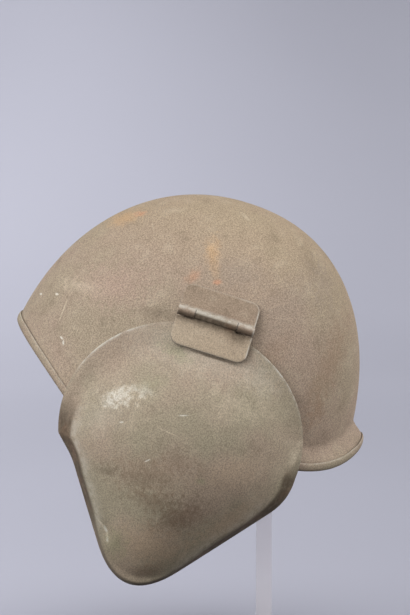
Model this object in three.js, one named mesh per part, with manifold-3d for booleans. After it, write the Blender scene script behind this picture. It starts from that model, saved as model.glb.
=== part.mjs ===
// Steel flak helmet with two hinged ear plates, resting on a clear display stand.
// Millimetres, +Z up. The front of the helmet faces -Y and the wearer's left is +X.
// The origin is the centre of the stand's underside.

import * as THREE from "three";
import { mergeVertices } from "three/addons/utils/BufferGeometryUtils.js";
import Module from "manifold-3d";

const wasm = await Module();
wasm.setup();

const { degToRad, lerp, smoothstep } = THREE.MathUtils;

// How the helmet sits on its stand
const BRIM_LEVEL = 220; // height of the helmet's own origin, near the level of its edge
const HELMET_TILT = degToRad(-17.5); // the front is raised
const FIT_GAP = 0.3; // clearance between pieces that touch
const CURVED_FIT_GAP = 0.9; // and between curved faces, which are made of flats

// Steel shell, measured in the helmet's own frame: x to the left, y to the back, z up
const STEEL = 1.1; // wall thickness of the shell and the ear plates
const FRONT_REACH = 143;
const REAR_REACH = 130;
const SIDE_REACH = 116;
const DOME_BASE = -25; // level where the bowl is widest
const DOME_HEIGHT = 169; // from there to the crown
const FRONT_FULLNESS = 2.07; // 2 is an ellipse, more is squarer
const SIDE_FULLNESS = 2.1;
const REAR_FULLNESS = 2.27;
const FRONT_TIP = 7.5; // height of the edge at the front
const FRONT_CUT = 105; // the front edge is cut nearly flat, this far down toward the sides
const REAR_TIP = -5; // height of the edge at the back
const REAR_SWEEP = 9; // how soon the edge drops away from there
const SIDE_EDGE = -28; // lowest level of the edge
const FLARE_REACH = 9.5; // outward turn of the edge at the back, fading to the front
const FLARE_RISE = 15;
const FLARE_LIP = 3.5; // the last of it turns down again
const SHELL_COLUMNS = 80;
const SHELL_ROWS = 14;
const ROW_CROWDING = 1.6; // rows lie closer together toward the edge

// Arched ear cut-outs in the shell, hidden behind the plates
const EAR_CENTRE = degToRad(2);
const EAR_HALF_SPAN = degToRad(41);
const EAR_FLAT_SHARE = 0.35;
const EAR_TOP = 22;

// Folded strip round the edge of the shell
const BAND_RISE = 5;
const BAND_GAP = 0.55;
const BAND_SHEET = 0.9;
const BAND_ROUND = 0.5;

// Ear plates, in the helmet's own frame
const PLATE_CENTRE_Y = 1.6;
const PLATE_CENTRE_Z = -28;
const PLATE_HALF_WIDTH = 89.3;
const PLATE_HALF_HEIGHT = 82;
const PLATE_REAR_ANGLE = degToRad(-4); // the round upper outline starts here
const PLATE_FRONT_ANGLE = degToRad(198); // and ends at the front corner
const PLATE_LOWER_CORNERS = [
  { y: -69, z: -67, fillet: 7 }, // step back behind the front corner
  { y: -3.2, z: -165.8, fillet: 52 }, // tip below the jaw
  { y: 91, z: -51.5, fillet: 16 }, // rear corner
];
const PLATE_STEP = 11; // spacing of the outline's points
const PLATE_TOP_X = 106.4; // stand-out of the top edge at the hinge
const PLATE_WRAP_RADIUS = 500; // the edge wraps round the head
const PLATE_TUCK_LEVEL = -30; // below this the edge leans in to the jaw
const PLATE_TUCK = 0.1;
const PLATE_APEX_X = 137;
const PLATE_APEX_Y = 3;
const PLATE_APEX_Z = -42;
const PLATE_DOME_POWER = 2.3;
const LAP_BORDER = { width: 16, rise: 5, soft: 1.2 }; // where the plate lies over the shell
const FREE_BORDER = { width: 6, rise: 14, soft: 1 }; // where its edge turns in to the face
const LAP_END = 12;
const FREE_START = -80;
const PLATE_BORDER_SHARES = [0, 0.5, 1]; // rings across the border, from the edge in
const PLATE_DOME_SHARES = [0.86, 0.69, 0.47, 0.24]; // rings across the dome, from the border to the apex

// Ear plate hinges
const HINGE_Y = 0.9;
const HINGE_Z = 59.5;
const HINGE_LENGTH = 56.8;
const MIDDLE_KNUCKLE = 31.5;
const KNUCKLE_RADIUS = 3.5;
const PIN_RADIUS = 1.6;
const LEAF_SHEET = 1.5;
const UPPER_LEAF_HEIGHT = 22;
const LOWER_LEAF_HEIGHT = 25;
const LEAF_CORNER = 7;
const LEAF_ROOT = 2.6; // a leaf joins its knuckle at this distance from the axis
const ROUND_SIDES = 16;

// Clear stand
const BASE_WIDTH = 160;
const BASE_LENGTH = 180;
const BASE_HEIGHT = 10;
const BASE_CORNER = 12;
const BASE_CHAMFER = 1;
const POST_SIZE = 12;
const POST_Y = 56.6;
const SADDLE_SHEET = 4;
const SADDLE_HALF_WIDTH = 28;
const SADDLE_FRONT = -45; // in the helmet's own frame
const SADDLE_REAR = 50;
const SADDLE_STEPS_ALONG = 8;
const SADDLE_STEPS_ACROSS = 4;

// Finishes
const PAINT = { color: 0x857764, roughness: 0.85, metalness: 0.1 };
const WORN_STEEL = { color: 0x8a8272, roughness: 0.6, metalness: 0.5 };
const ACRYLIC = { color: 0xdfe4e8, roughness: 0.08, metalness: 0, transparent: true, opacity: 0.35 };

const WELD_DISTANCE = 1e-4;
const CORNER_SEGMENTS = 5; // in a quarter turn
const SEARCH_HALVINGS = 40;

// Turns a shape drawn in y and z, with its depth along x, into place
const sideView = new THREE.Matrix4().makeBasis(
  new THREE.Vector3(0, 1, 0),
  new THREE.Vector3(0, 0, 1),
  new THREE.Vector3(1, 0, 0),
);

const signedPower = (value, power) => Math.sign(value) * Math.abs(value) ** power;

function meshFrom(name, geometry, finish) {
  const mesh = new THREE.Mesh(geometry, new THREE.MeshStandardMaterial(finish));
  mesh.name = name;
  return mesh;
}

function indexedGeometry(points, triangles) {
  const geometry = new THREE.BufferGeometry();
  geometry.setAttribute("position", new THREE.Float32BufferAttribute(points.flatMap((p) => p.toArray()), 3));
  geometry.setIndex(triangles);
  return geometry;
}

// Two triangles for a quad, split along its shorter diagonal
function quadTriangles(points, a, b, c, d) {
  const shorter = points[a].distanceToSquared(points[c]) <= points[b].distanceToSquared(points[d]);
  return shorter ? [[a, b, c], [a, c, d]] : [[a, b, d], [b, c, d]];
}

// A boolean solid from a closed geometry, and back
function solidFrom(geometry) {
  const bare = geometry.clone();
  bare.deleteAttribute("normal");
  bare.deleteAttribute("uv");
  const merged = mergeVertices(bare, WELD_DISTANCE);
  return new wasm.Manifold(
    new wasm.Mesh({
      numProp: 3,
      vertProperties: new Float32Array(merged.attributes.position.array),
      triVerts: new Uint32Array(merged.index.array),
    }),
  );
}

function geometryFrom(solid) {
  const { numProp, vertProperties, triVerts } = solid.getMesh();
  const geometry = new THREE.BufferGeometry();
  const positions = new THREE.InterleavedBufferAttribute(
    new THREE.InterleavedBuffer(vertProperties, numProp),
    3,
    0,
  );
  geometry.setAttribute("position", positions);
  geometry.setIndex(Array.from(triVerts));
  return geometry;
}

// Normals of a dish made of rings round a pole, the rings counter-clockwise seen from outside
function dishNormals(rings, pole) {
  return rings.map((ring, row) =>
    ring.map((_, column) => {
      const next = ring[(column + 1) % ring.length];
      const last = ring[(column + ring.length - 1) % ring.length];
      const inner = row > 0 ? rings[row - 1][column] : pole;
      const outer = row + 1 < rings.length ? rings[row + 1][column] : ring[column];
      const around = next.clone().sub(last);
      const inward = inner.clone().sub(outer);
      return around.cross(inward).normalize();
    }),
  );
}

// A closed wall from a dish's outer face, its rings listed from the pole to the edge
function dishWall(pole, poleNormal, rings, normals, thickness) {
  const count = rings[0].length;
  const inside = (point, normal) => point.clone().addScaledVector(normal, -thickness);
  const outerPoints = [pole, ...rings.flat()];
  const innerPoints = [
    inside(pole, poleNormal),
    ...rings.flatMap((ring, row) => ring.map((point, column) => inside(point, normals[row][column]))),
  ];
  const innerStart = outerPoints.length;
  const at = (row, column) => 1 + row * count + (column % count);
  const triangles = [];
  const face = (a, b, c) => {
    triangles.push(a, b, c);
    triangles.push(innerStart + a, innerStart + c, innerStart + b);
  };
  for (let column = 0; column < count; column++) {
    face(0, at(0, column), at(0, column + 1));
    for (let row = 0; row + 1 < rings.length; row++) {
      const corners = [at(row, column), at(row + 1, column), at(row + 1, column + 1), at(row, column + 1)];
      quadTriangles(outerPoints, ...corners).forEach((triangle) => face(...triangle));
    }
    const here = at(rings.length - 1, column);
    const next = at(rings.length - 1, column + 1);
    triangles.push(here, innerStart + here, innerStart + next);
    triangles.push(here, innerStart + next, next);
  }
  return indexedGeometry([...outerPoints, ...innerPoints], triangles);
}

// A closed ring swept through sections that each hold the same number of points
function sweptRing(sections) {
  const size = sections[0].length;
  const points = sections.flat();
  const triangles = sections.flatMap((section, index) => {
    const here = index * size;
    const ahead = ((index + 1) % sections.length) * size;
    return section.flatMap((_, side) => {
      const next = (side + 1) % size;
      return quadTriangles(points, here + side, here + next, ahead + next, ahead + side).flat();
    });
  });
  return indexedGeometry(points, triangles);
}

// Shell surface: an oval bowl, each quarter with its own reach and fullness
function planReach(angle) {
  const along = Math.sin(angle) < 0 ? FRONT_REACH : REAR_REACH;
  return 1 / Math.hypot(Math.cos(angle) / SIDE_REACH, Math.sin(angle) / along);
}

function fullness(angle) {
  const end = Math.sin(angle) < 0 ? FRONT_FULLNESS : REAR_FULLNESS;
  return lerp(SIDE_FULLNESS, end, Math.sin(angle) ** 2);
}

function brimHeight(angle) {
  const along = Math.sin(angle);
  if (along < 0) return Math.max(FRONT_TIP - FRONT_CUT * (1 + along), SIDE_EDGE);
  return lerp(SIDE_EDGE, REAR_TIP, along ** REAR_SWEEP);
}

function flareAt(angle, z) {
  const share = smoothstep(brimHeight(angle) + FLARE_RISE - z, 0, FLARE_RISE - FLARE_LIP);
  return FLARE_REACH * ((1 + Math.sin(angle)) / 2) * share;
}

function edgeHeight(angle) {
  const fromSide = Math.asin(Math.sin(angle));
  const away = Math.abs(fromSide - EAR_CENTRE) / EAR_HALF_SPAN;
  return lerp(EAR_TOP, brimHeight(angle), smoothstep(away, EAR_FLAT_SHARE, 1));
}

function shellReach(angle, z) {
  const power = fullness(angle);
  const rise = Math.min(Math.abs(z - DOME_BASE) / DOME_HEIGHT, 1);
  return planReach(angle) * (1 - rise ** power) ** (1 / power) + flareAt(angle, z);
}

function shellPoint(angle, z) {
  const reach = shellReach(angle, z);
  return new THREE.Vector3(reach * Math.cos(angle), reach * Math.sin(angle), z);
}

// Rows are spaced by the angle of the bowl's own curve, so that they stay even over the crown
function rowHeight(angle, share) {
  const power = fullness(angle);
  const lowest = (edgeHeight(angle) + BAND_RISE - DOME_BASE) / DOME_HEIGHT;
  const lowestAngle = Math.asin(signedPower(lowest, power / 2));
  const curveAngle = lerp(Math.PI / 2, lowestAngle, share);
  return DOME_BASE + DOME_HEIGHT * signedPower(Math.sin(curveAngle), 2 / power);
}

function shellRings() {
  const angles = Array.from({ length: SHELL_COLUMNS }, (_, column) => (column * 2 * Math.PI) / SHELL_COLUMNS);
  const rings = [];
  for (let row = 1; row <= SHELL_ROWS; row++) {
    const share = 1 - (1 - row / (SHELL_ROWS + 1)) ** ROW_CROWDING;
    const fullShare = 1 - (1 / (SHELL_ROWS + 1)) ** ROW_CROWDING;
    rings.push(angles.map((angle) => shellPoint(angle, rowHeight(angle, share / fullShare))));
  }
  rings.push(angles.map((angle) => shellPoint(angle, edgeHeight(angle))));
  return rings;
}

const crown = new THREE.Vector3(0, 0, DOME_BASE + DOME_HEIGHT);
const up = new THREE.Vector3(0, 0, 1);
const bowlRings = shellRings();
const bowlNormals = dishNormals(bowlRings, crown);

function makeShell() {
  return dishWall(crown, up, bowlRings, bowlNormals, STEEL);
}

// The strip folds over the edge, from the last row outside to the last row inside
function makeRimBand() {
  const edgeRow = bowlRings.length - 1;
  const near = BAND_GAP;
  const far = BAND_GAP + BAND_SHEET;
  const sections = bowlRings[edgeRow].map((edge, column) => {
    const above = bowlRings[edgeRow - 1][column];
    const aboveNormal = bowlNormals[edgeRow - 1][column];
    const edgeNormal = bowlNormals[edgeRow][column];
    const down = edge.clone().sub(above).normalize();
    const leg = (offset) => above.clone().addScaledVector(aboveNormal, offset);
    const fold = (offset, below) =>
      edge.clone().addScaledVector(edgeNormal, offset).addScaledVector(down, below);
    return [
      leg(far),
      fold(far, far - BAND_ROUND),
      fold(far - BAND_ROUND, far),
      fold(-STEEL - far + BAND_ROUND, far),
      fold(-STEEL - far, far - BAND_ROUND),
      leg(-STEEL - far),
      leg(-STEEL - near),
      fold(-STEEL - near, near),
      fold(near, near),
      leg(near),
    ];
  });
  return sweptRing(sections);
}

// Ear plate outline: round above, three corners below
function plateOutline() {
  const path = new THREE.Path();
  path.absellipse(
    PLATE_CENTRE_Y,
    PLATE_CENTRE_Z,
    PLATE_HALF_WIDTH,
    PLATE_HALF_HEIGHT,
    PLATE_REAR_ANGLE,
    PLATE_FRONT_ANGLE,
  );
  const start = path.getPoint(0);
  const corners = PLATE_LOWER_CORNERS.map(({ y, z }) => new THREE.Vector2(y, z));
  PLATE_LOWER_CORNERS.forEach(({ fillet }, index) => {
    const corner = corners[index];
    const next = corners[index + 1] ?? start;
    const last = path.currentPoint.clone();
    const before = corner.clone().add(last.sub(corner).setLength(fillet));
    const after = corner.clone().add(next.clone().sub(corner).setLength(fillet));
    path.lineTo(before.x, before.y);
    path.quadraticCurveTo(corner.x, corner.y, after.x, after.y);
  });
  path.lineTo(start.x, start.y);
  return path.curves.flatMap((curve) => {
    const steps = Math.max(1, Math.round(curve.getLength() / PLATE_STEP));
    return curve.getSpacedPoints(steps).slice(0, -1);
  });
}

function plateEdgeX(y, z) {
  const wrap = (y - HINGE_Y) ** 2 / (2 * PLATE_WRAP_RADIUS);
  const tuck = PLATE_TUCK * Math.max(PLATE_TUCK_LEVEL - z, 0);
  return PLATE_TOP_X - wrap - tuck;
}

// Outer face of the plate on the way from an outline point to the apex:
// a border first, then the dome
function platePoint(edge, ring) {
  const freeShare = 1 - smoothstep(edge.y, FREE_START, LAP_END);
  const border = (key) => lerp(LAP_BORDER[key], FREE_BORDER[key], freeShare);
  const apex = new THREE.Vector2(PLATE_APEX_Y, PLATE_APEX_Z);
  const span = edge.distanceTo(apex);
  const borderEnd = 1 - border("width") / span;
  const share = ring.border === undefined ? ring.dome * borderEnd : lerp(1, borderEnd, ring.border);
  const { x: y, y: z } = apex.clone().lerp(edge, share);
  const edgeX = plateEdgeX(edge.x, edge.y);
  const domeBase = edgeX + border("rise");
  if (ring.border !== undefined) {
    return new THREE.Vector3(edgeX + border("rise") * ring.border, y, z);
  }
  const swell = (1 - ring.dome ** PLATE_DOME_POWER) ** border("soft");
  return new THREE.Vector3(lerp(domeBase, PLATE_APEX_X, swell), y, z);
}

function makeEarPlate() {
  const outline = plateOutline();
  const ringPlaces = [
    ...[...PLATE_DOME_SHARES].reverse().map((dome) => ({ dome })),
    ...[...PLATE_BORDER_SHARES].reverse().map((border) => ({ border })),
  ];
  const rings = ringPlaces.map((place) => outline.map((edge) => platePoint(edge, place)));
  const pole = new THREE.Vector3(PLATE_APEX_X, PLATE_APEX_Y, PLATE_APEX_Z);
  const normals = dishNormals(rings, pole);
  return dishWall(pole, new THREE.Vector3(1, 0, 0), rings, normals, STEEL);
}

// Hinge frame: x outward from the axis, y along it, z up
const hingeSlope = (() => {
  const reachStep = 1;
  const side = (z) => shellReach(0, z);
  return Math.atan2(side(HINGE_Z) - side(HINGE_Z + reachStep), reachStep);
})();
const hingeStandOff = FIT_GAP + KNUCKLE_RADIUS;
const hingeX =
  shellReach(0, HINGE_Z - hingeStandOff * Math.sin(hingeSlope)) + hingeStandOff * Math.cos(hingeSlope);

function knuckle(from, to) {
  const length = to - from;
  const barrel = solidFrom(new THREE.CylinderGeometry(KNUCKLE_RADIUS, KNUCKLE_RADIUS, length, ROUND_SIDES));
  const boreRadius = PIN_RADIUS + FIT_GAP;
  const bore = solidFrom(new THREE.CylinderGeometry(boreRadius, boreRadius, length * 2, ROUND_SIDES));
  return barrel.subtract(bore).translate([0, (from + to) / 2, 0]);
}

// A leaf seen from outside, its root near the axis, stepped between the knuckles,
// and its rounded end at the given height
function leafShape(middle, rootInner, rootOuter, height) {
  const half = HINGE_LENGTH / 2;
  const shape = new THREE.Shape();
  shape.moveTo(-half, rootOuter);
  shape.lineTo(-middle, rootOuter);
  shape.lineTo(-middle, rootInner);
  shape.lineTo(middle, rootInner);
  shape.lineTo(middle, rootOuter);
  shape.lineTo(half, rootOuter);
  shape.lineTo(half, height - LEAF_CORNER);
  shape.quadraticCurveTo(half, height, half - LEAF_CORNER, height);
  shape.lineTo(-half + LEAF_CORNER, height);
  shape.quadraticCurveTo(-half, height, -half, height - LEAF_CORNER);
  return shape;
}

function leafSlab(shape, innerFace) {
  const slab = new THREE.ExtrudeGeometry(shape, {
    depth: LEAF_SHEET,
    bevelEnabled: false,
    curveSegments: CORNER_SEGMENTS,
  });
  return slab.applyMatrix4(sideView).translate(innerFace, 0, 0);
}

const clearOfKnuckle = KNUCKLE_RADIUS + 2 * FIT_GAP;
const middleHalf = MIDDLE_KNUCKLE / 2;
const knuckleSplit = middleHalf + FIT_GAP;

function makeUpperLeaf() {
  const half = HINGE_LENGTH / 2;
  const slab = leafSlab(leafShape(knuckleSplit, clearOfKnuckle, 0, UPPER_LEAF_HEIGHT), -KNUCKLE_RADIUS);
  const leaf = solidFrom(slab).add(knuckle(-half, -knuckleSplit)).add(knuckle(knuckleSplit, half));
  return geometryFrom(leaf);
}

// The lower leaf follows the plate's upper border
const plateTop = new THREE.Vector2(HINGE_Y, PLATE_CENTRE_Z + PLATE_HALF_HEIGHT);
const seatTop = platePoint(plateTop, { border: 0 });
const seatLow = platePoint(plateTop, { border: 1 });
const seatSlope = Math.atan2(seatLow.x - seatTop.x, seatTop.z - seatLow.z);
const seatDepth =
  (seatTop.x - hingeX) * Math.cos(seatSlope) + (seatTop.z - HINGE_Z) * Math.sin(seatSlope) + CURVED_FIT_GAP;

function makeLowerLeaf() {
  const shape = leafShape(middleHalf, LEAF_ROOT, clearOfKnuckle, LOWER_LEAF_HEIGHT);
  const slab = leafSlab(shape, -seatDepth - LEAF_SHEET);
  slab.rotateY(Math.PI);
  return geometryFrom(solidFrom(slab).add(knuckle(-middleHalf, middleHalf)));
}

// Stand
function makeStandBase() {
  const x = BASE_WIDTH / 2 - BASE_CHAMFER;
  const y = BASE_LENGTH / 2 - BASE_CHAMFER;
  const shape = new THREE.Shape();
  shape.absarc(x - BASE_CORNER, y - BASE_CORNER, BASE_CORNER, 0, Math.PI / 2);
  shape.absarc(-x + BASE_CORNER, y - BASE_CORNER, BASE_CORNER, Math.PI / 2, Math.PI);
  shape.absarc(-x + BASE_CORNER, -y + BASE_CORNER, BASE_CORNER, Math.PI, 1.5 * Math.PI);
  shape.absarc(x - BASE_CORNER, -y + BASE_CORNER, BASE_CORNER, 1.5 * Math.PI, 2 * Math.PI);
  const base = new THREE.ExtrudeGeometry(shape, {
    depth: BASE_HEIGHT - 2 * BASE_CHAMFER,
    bevelThickness: BASE_CHAMFER,
    bevelSize: BASE_CHAMFER,
    bevelSegments: 1,
    curveSegments: CORNER_SEGMENTS,
  });
  return base.translate(0, 0, BASE_CHAMFER);
}

// Height of the crown over a plan position, found on the bowl's own curve
function crownHeight(x, y) {
  const angle = Math.atan2(y, x);
  const power = fullness(angle);
  const share = Math.hypot(x, y) / planReach(angle);
  return DOME_BASE + DOME_HEIGHT * (1 - share ** power) ** (1 / power);
}

function crownNormal(x, y) {
  const step = 0.5;
  const slopeX = (crownHeight(x + step, y) - crownHeight(x - step, y)) / (2 * step);
  const slopeY = (crownHeight(x, y + step) - crownHeight(x, y - step)) / (2 * step);
  return new THREE.Vector3(-slopeX, -slopeY, 1).normalize();
}

function underCrown(x, y, depth) {
  return new THREE.Vector3(x, y, crownHeight(x, y)).addScaledVector(crownNormal(x, y), -depth);
}

const saddleTop = STEEL + CURVED_FIT_GAP;
const saddleUnderside = saddleTop + SADDLE_SHEET;

function makeSaddle() {
  const rows = SADDLE_STEPS_ALONG + 1;
  const columns = SADDLE_STEPS_ACROSS + 1;
  const points = [saddleTop, saddleUnderside].flatMap((depth) =>
    Array.from({ length: rows * columns }, (_, index) => {
      const y = lerp(SADDLE_FRONT, SADDLE_REAR, Math.floor(index / columns) / SADDLE_STEPS_ALONG);
      const x = lerp(-SADDLE_HALF_WIDTH, SADDLE_HALF_WIDTH, (index % columns) / SADDLE_STEPS_ACROSS);
      return underCrown(x, y, depth);
    }),
  );
  const below = rows * columns;
  const triangles = [];
  const quad = (a, b, c, d) => triangles.push(a, b, c, a, c, d);
  for (let row = 0; row + 1 < rows; row++) {
    for (let column = 0; column + 1 < columns; column++) {
      const a = row * columns + column;
      const b = a + 1;
      const c = b + columns;
      const d = a + columns;
      quad(a, b, c, d);
      quad(below + a, below + d, below + c, below + b);
    }
    const left = row * columns;
    const right = left + columns - 1;
    quad(left, left + columns, below + left + columns, below + left);
    quad(right + columns, right, below + right, below + right + columns);
  }
  for (let column = 0; column + 1 < columns; column++) {
    const rear = (rows - 1) * columns + column;
    quad(column + 1, column, below + column, below + column + 1);
    quad(rear, rear + 1, below + rear + 1, below + rear);
  }
  return indexedGeometry(points, triangles);
}

// The post's top is cut to the slope of the saddle's underside
function makePost(helmetFrame) {
  const topAt = (y) => {
    let low = SADDLE_FRONT;
    let high = SADDLE_REAR;
    const place = (along) => underCrown(0, along, saddleUnderside + CURVED_FIT_GAP).applyMatrix4(helmetFrame);
    for (let halving = 0; halving < SEARCH_HALVINGS; halving++) {
      const middle = (low + high) / 2;
      if (place(middle).y < y) low = middle;
      else high = middle;
    }
    return place(low).z;
  };
  const front = POST_Y - POST_SIZE / 2;
  const rear = POST_Y + POST_SIZE / 2;
  const foot = BASE_HEIGHT + FIT_GAP;
  const side = new THREE.Shape();
  side.moveTo(front, foot);
  side.lineTo(rear, foot);
  side.lineTo(rear, topAt(rear));
  side.lineTo(front, topAt(front));
  const post = new THREE.ExtrudeGeometry(side, { depth: POST_SIZE, bevelEnabled: false });
  return post.applyMatrix4(sideView).translate(-POST_SIZE / 2, 0, 0);
}

// Assembly
const helmet = new THREE.Group();
helmet.position.z = BRIM_LEVEL;
helmet.rotation.x = HELMET_TILT;
helmet.updateMatrix();
helmet.add(meshFrom("shell", makeShell(), PAINT));
helmet.add(meshFrom("rim_band", makeRimBand(), PAINT));
helmet.add(meshFrom("stand_saddle", makeSaddle(), ACRYLIC));

for (const [sideName, direction] of [["left", 1], ["right", -1]]) {
  const side = new THREE.Group();
  side.scale.x = direction;
  const upperLeaf = meshFrom(`hinge_upper_leaf_${sideName}`, makeUpperLeaf(), PAINT);
  const lowerLeaf = meshFrom(`hinge_lower_leaf_${sideName}`, makeLowerLeaf(), PAINT);
  const pinGeometry = new THREE.CylinderGeometry(PIN_RADIUS, PIN_RADIUS, HINGE_LENGTH, ROUND_SIDES);
  const pin = meshFrom(`hinge_pin_${sideName}`, pinGeometry, WORN_STEEL);
  for (const piece of [upperLeaf, lowerLeaf, pin]) {
    piece.position.set(hingeX, HINGE_Y, HINGE_Z);
    side.add(piece);
  }
  upperLeaf.rotation.y = -hingeSlope;
  lowerLeaf.rotation.y = -seatSlope;
  side.add(meshFrom(`ear_plate_${sideName}`, makeEarPlate(), PAINT));
  helmet.add(side);
}

const part = new THREE.Group();
part.add(helmet);
part.add(meshFrom("stand_base", makeStandBase(), ACRYLIC));
part.add(meshFrom("stand_post", makePost(helmet.matrix), ACRYLIC));

export default part;
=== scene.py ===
"""Looks of a steel flak helmet with hinged ear plates, on its clear stand."""

import math
from collections import namedtuple

import bpy
import numpy as np
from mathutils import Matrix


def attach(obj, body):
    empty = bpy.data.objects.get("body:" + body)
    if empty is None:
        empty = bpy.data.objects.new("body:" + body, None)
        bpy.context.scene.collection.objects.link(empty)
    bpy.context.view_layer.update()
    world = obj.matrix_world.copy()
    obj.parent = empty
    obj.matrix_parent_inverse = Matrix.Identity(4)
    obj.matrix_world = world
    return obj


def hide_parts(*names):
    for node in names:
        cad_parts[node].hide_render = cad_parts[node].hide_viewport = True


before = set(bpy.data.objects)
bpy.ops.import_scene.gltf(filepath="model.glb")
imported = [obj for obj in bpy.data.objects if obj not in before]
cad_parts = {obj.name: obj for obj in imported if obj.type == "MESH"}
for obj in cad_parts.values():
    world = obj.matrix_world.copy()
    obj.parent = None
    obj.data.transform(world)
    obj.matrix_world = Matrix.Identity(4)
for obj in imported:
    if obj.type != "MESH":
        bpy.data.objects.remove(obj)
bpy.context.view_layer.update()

# Columns of the tables
Wave = namedtuple("Wave", "count height phase")  # round the helmet
Corner = namedtuple("Corner", "y z fillet")
Dent = namedtuple("Dent", "y z half_long half_wide turn depth")  # turn in degrees
Rub = namedtuple("Rub", "y half_wide strength")
# A mark's side is 1 for the helmet's left and -1 for its right.
MARK_COLUMNS = "y z half_long half_wide turn strength colour rough ragged soft side"
Mark = namedtuple("Mark", MARK_COLUMNS, defaults=(0.8, 1, 1))
Softbox = namedtuple("Softbox", "name place power")

# How the helmet sits on its stand. Lengths are in millimetres, as in the solids.
PER_METRE = 1000
BRIM_LEVEL = 220
HELMET_TILT = math.radians(-17.5)
FIT_GAP = 0.3
CURVED_FIT_GAP = 0.9

# Shell
STEEL = 1.1
FRONT_REACH = 143
REAR_REACH = 130
SIDE_REACH = 116
DOME_BASE = -25
DOME_HEIGHT = 169
FRONT_FULLNESS = 2.07
SIDE_FULLNESS = 2.1
REAR_FULLNESS = 2.27
FRONT_TIP = 7.5
FRONT_CUT = 105
REAR_TIP = -5
REAR_SWEEP = 9
SIDE_EDGE = -28
FLARE_REACH = 9.5
FLARE_RISE = 15
FLARE_LIP = 3.5
EAR_CENTRE = math.radians(2)
EAR_HALF_SPAN = math.radians(41)
EAR_FLAT_SHARE = 0.35
EAR_TOP = 22
SHELL_COLUMNS = 288
SHELL_ROWS = 64
ROW_CROWDING = 1.5
EDGE_ROWS = 4
SHELL_EDGE_ROUND = 0.2
NORMAL_STEP_ANGLE = 0.002
NORMAL_STEP_Z = 0.2
SEAM_DARKENING = 0.55  # darker paint in the seam above the rim band, which comes and goes round the edge
SEAM_WAVES = (Wave(7, 0.45, 0.6), Wave(3, 1, 2))
SEAM_DARKENING_ON_SHELL = 0.7
SEAM_DARKENING_SPREAD = 0.9

# Folded strip round the edge
BAND_RISE = 5
BAND_GAP = 0.55
BAND_SHEET = 0.9
BAND_COLUMNS = 400
BAND_LEG_STEPS = 5
BAND_FOLD_STEPS = 8
BAND_INNER_FOLD_STEPS = 4
BAND_LIP = 0.2
BAND_LIP_GAP = 0.2  # the strip is crimped on to the shell at its lips
BAND_LIP_SHEET = 0.8
BAND_BULGE = 0.35
BAND_WAVES = (
    Wave(5, 0.22, 0.4),
    Wave(11, 0.16, 1.9),
    Wave(23, 0.1, 4.4),
)
BAND_LIP_WEAR = 0.45
BAND_FOLD_DARKENING = 0.95
BAND_FOLD_DARKENING_ROWS = 4.2

# Ear plates
PLATE_CENTRE_Y = 1.6
PLATE_CENTRE_Z = -28
PLATE_HALF_WIDTH = 89.3
PLATE_HALF_HEIGHT = 82
PLATE_REAR_ANGLE = math.radians(-4)
PLATE_FRONT_ANGLE = math.radians(198)
PLATE_LOWER_CORNERS = (
    Corner(-69, -67, 7),
    Corner(-3.2, -165.8, 52),
    Corner(91, -51.5, 16),
)
PLATE_ARC_POINTS = 200
PLATE_FILLET_POINTS = 24
PLATE_TOP_X = 106.4
PLATE_WRAP_RADIUS = 500
PLATE_TUCK_LEVEL = -30
PLATE_TUCK = 0.1
PLATE_APEX = (137, 3, -42)
PLATE_DOME_POWER = 2.3
LAP_BORDER = {"width": 16, "rise": 5, "soft": 1.2, "blur": 2.4}
SIDE_BORDER = {"rise": 3.5, "soft": 0.8, "blur": 4.4}  # flatter away from the hinge, under a steeper dome
FREE_BORDER = {"width": 6, "rise": 14, "soft": 1.0, "blur": 1.1}
FRONT_LAP = 18  # the border is wider toward the front
REAR_LAP = 11.5
LAP_SIDES = (26, 60)  # distances from the hinge over which the lap flattens
LAP_TAPER = (-60, 60)  # y over which its width goes from the front's to the rear's
TIP_WIDTH = 4.6  # the border is narrower at the bottom tip, and wider at the front and rear corners
TIP_NARROWS = (98, 120)
CORNER_WIDTH = 9
CORNER_NARROWS = (54, 78)
FRONT_FREE = (-75, 34)  # levels where the free border has its full share and where it has none
REAR_FREE = (-52, -2)
PLATE_COLUMNS = 320
PLATE_ROWS = 48
PLATE_ROW_CROWDING = 1.6
PROFILE_STEPS = 240
PROFILE_BLUR_REACH = 70
SOFT_BLUR = 16  # columns of the plate over which its dome's form is evened out round the edge
DOME_BLUR = 12
PLATE_EDGE_ROUND = 0.3

# Dents beaten into the left plate
PLATE_DENTS = (
    Dent(-28.5, -108.5, 8.0, 3.0, -58, 1.6),
    Dent(-23.0, -112.0, 6.0, 4.0, -50, -0.6),
    Dent(88.0, -13.0, 9.0, 3.5, 80, -0.7),
    Dent(-46.0, -6.0, 16.0, 7.0, 25, 0.35),
    Dent(-34.0, -52.0, 13.0, 9.0, 10, 0.3),
    Dent(26.0, -56.0, 17.0, 11.0, 30, 0.35),
    Dent(22.0, 14.0, 12.0, 9.0, 60, 0.25),
)

# Rubbed paint, painted highlights and darker borders on the ear plates. Pairs are the limits of y, z or
# depth over which a change happens.
EDGE_RUBS = (Rub(-69, 19, 1.3), Rub(58, 20, 1))
EDGE_WEAR = 0.12  # below the rubbed stretch
EDGE_RUB_FROM = (-12, 4)
EDGE_WEAR_SPREAD = 1.0
NICK_Y = -28.4  # a bright nick in the left plate's edge
NICK_Z = -128.0
NICK_SIZE = 2
NICK_WEAR = 1.2
FRONT_TURNED_IN = (-48, -14)  # below this the border turns in and its paint is darker
REAR_TURNED_IN = (-38, -21)
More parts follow.
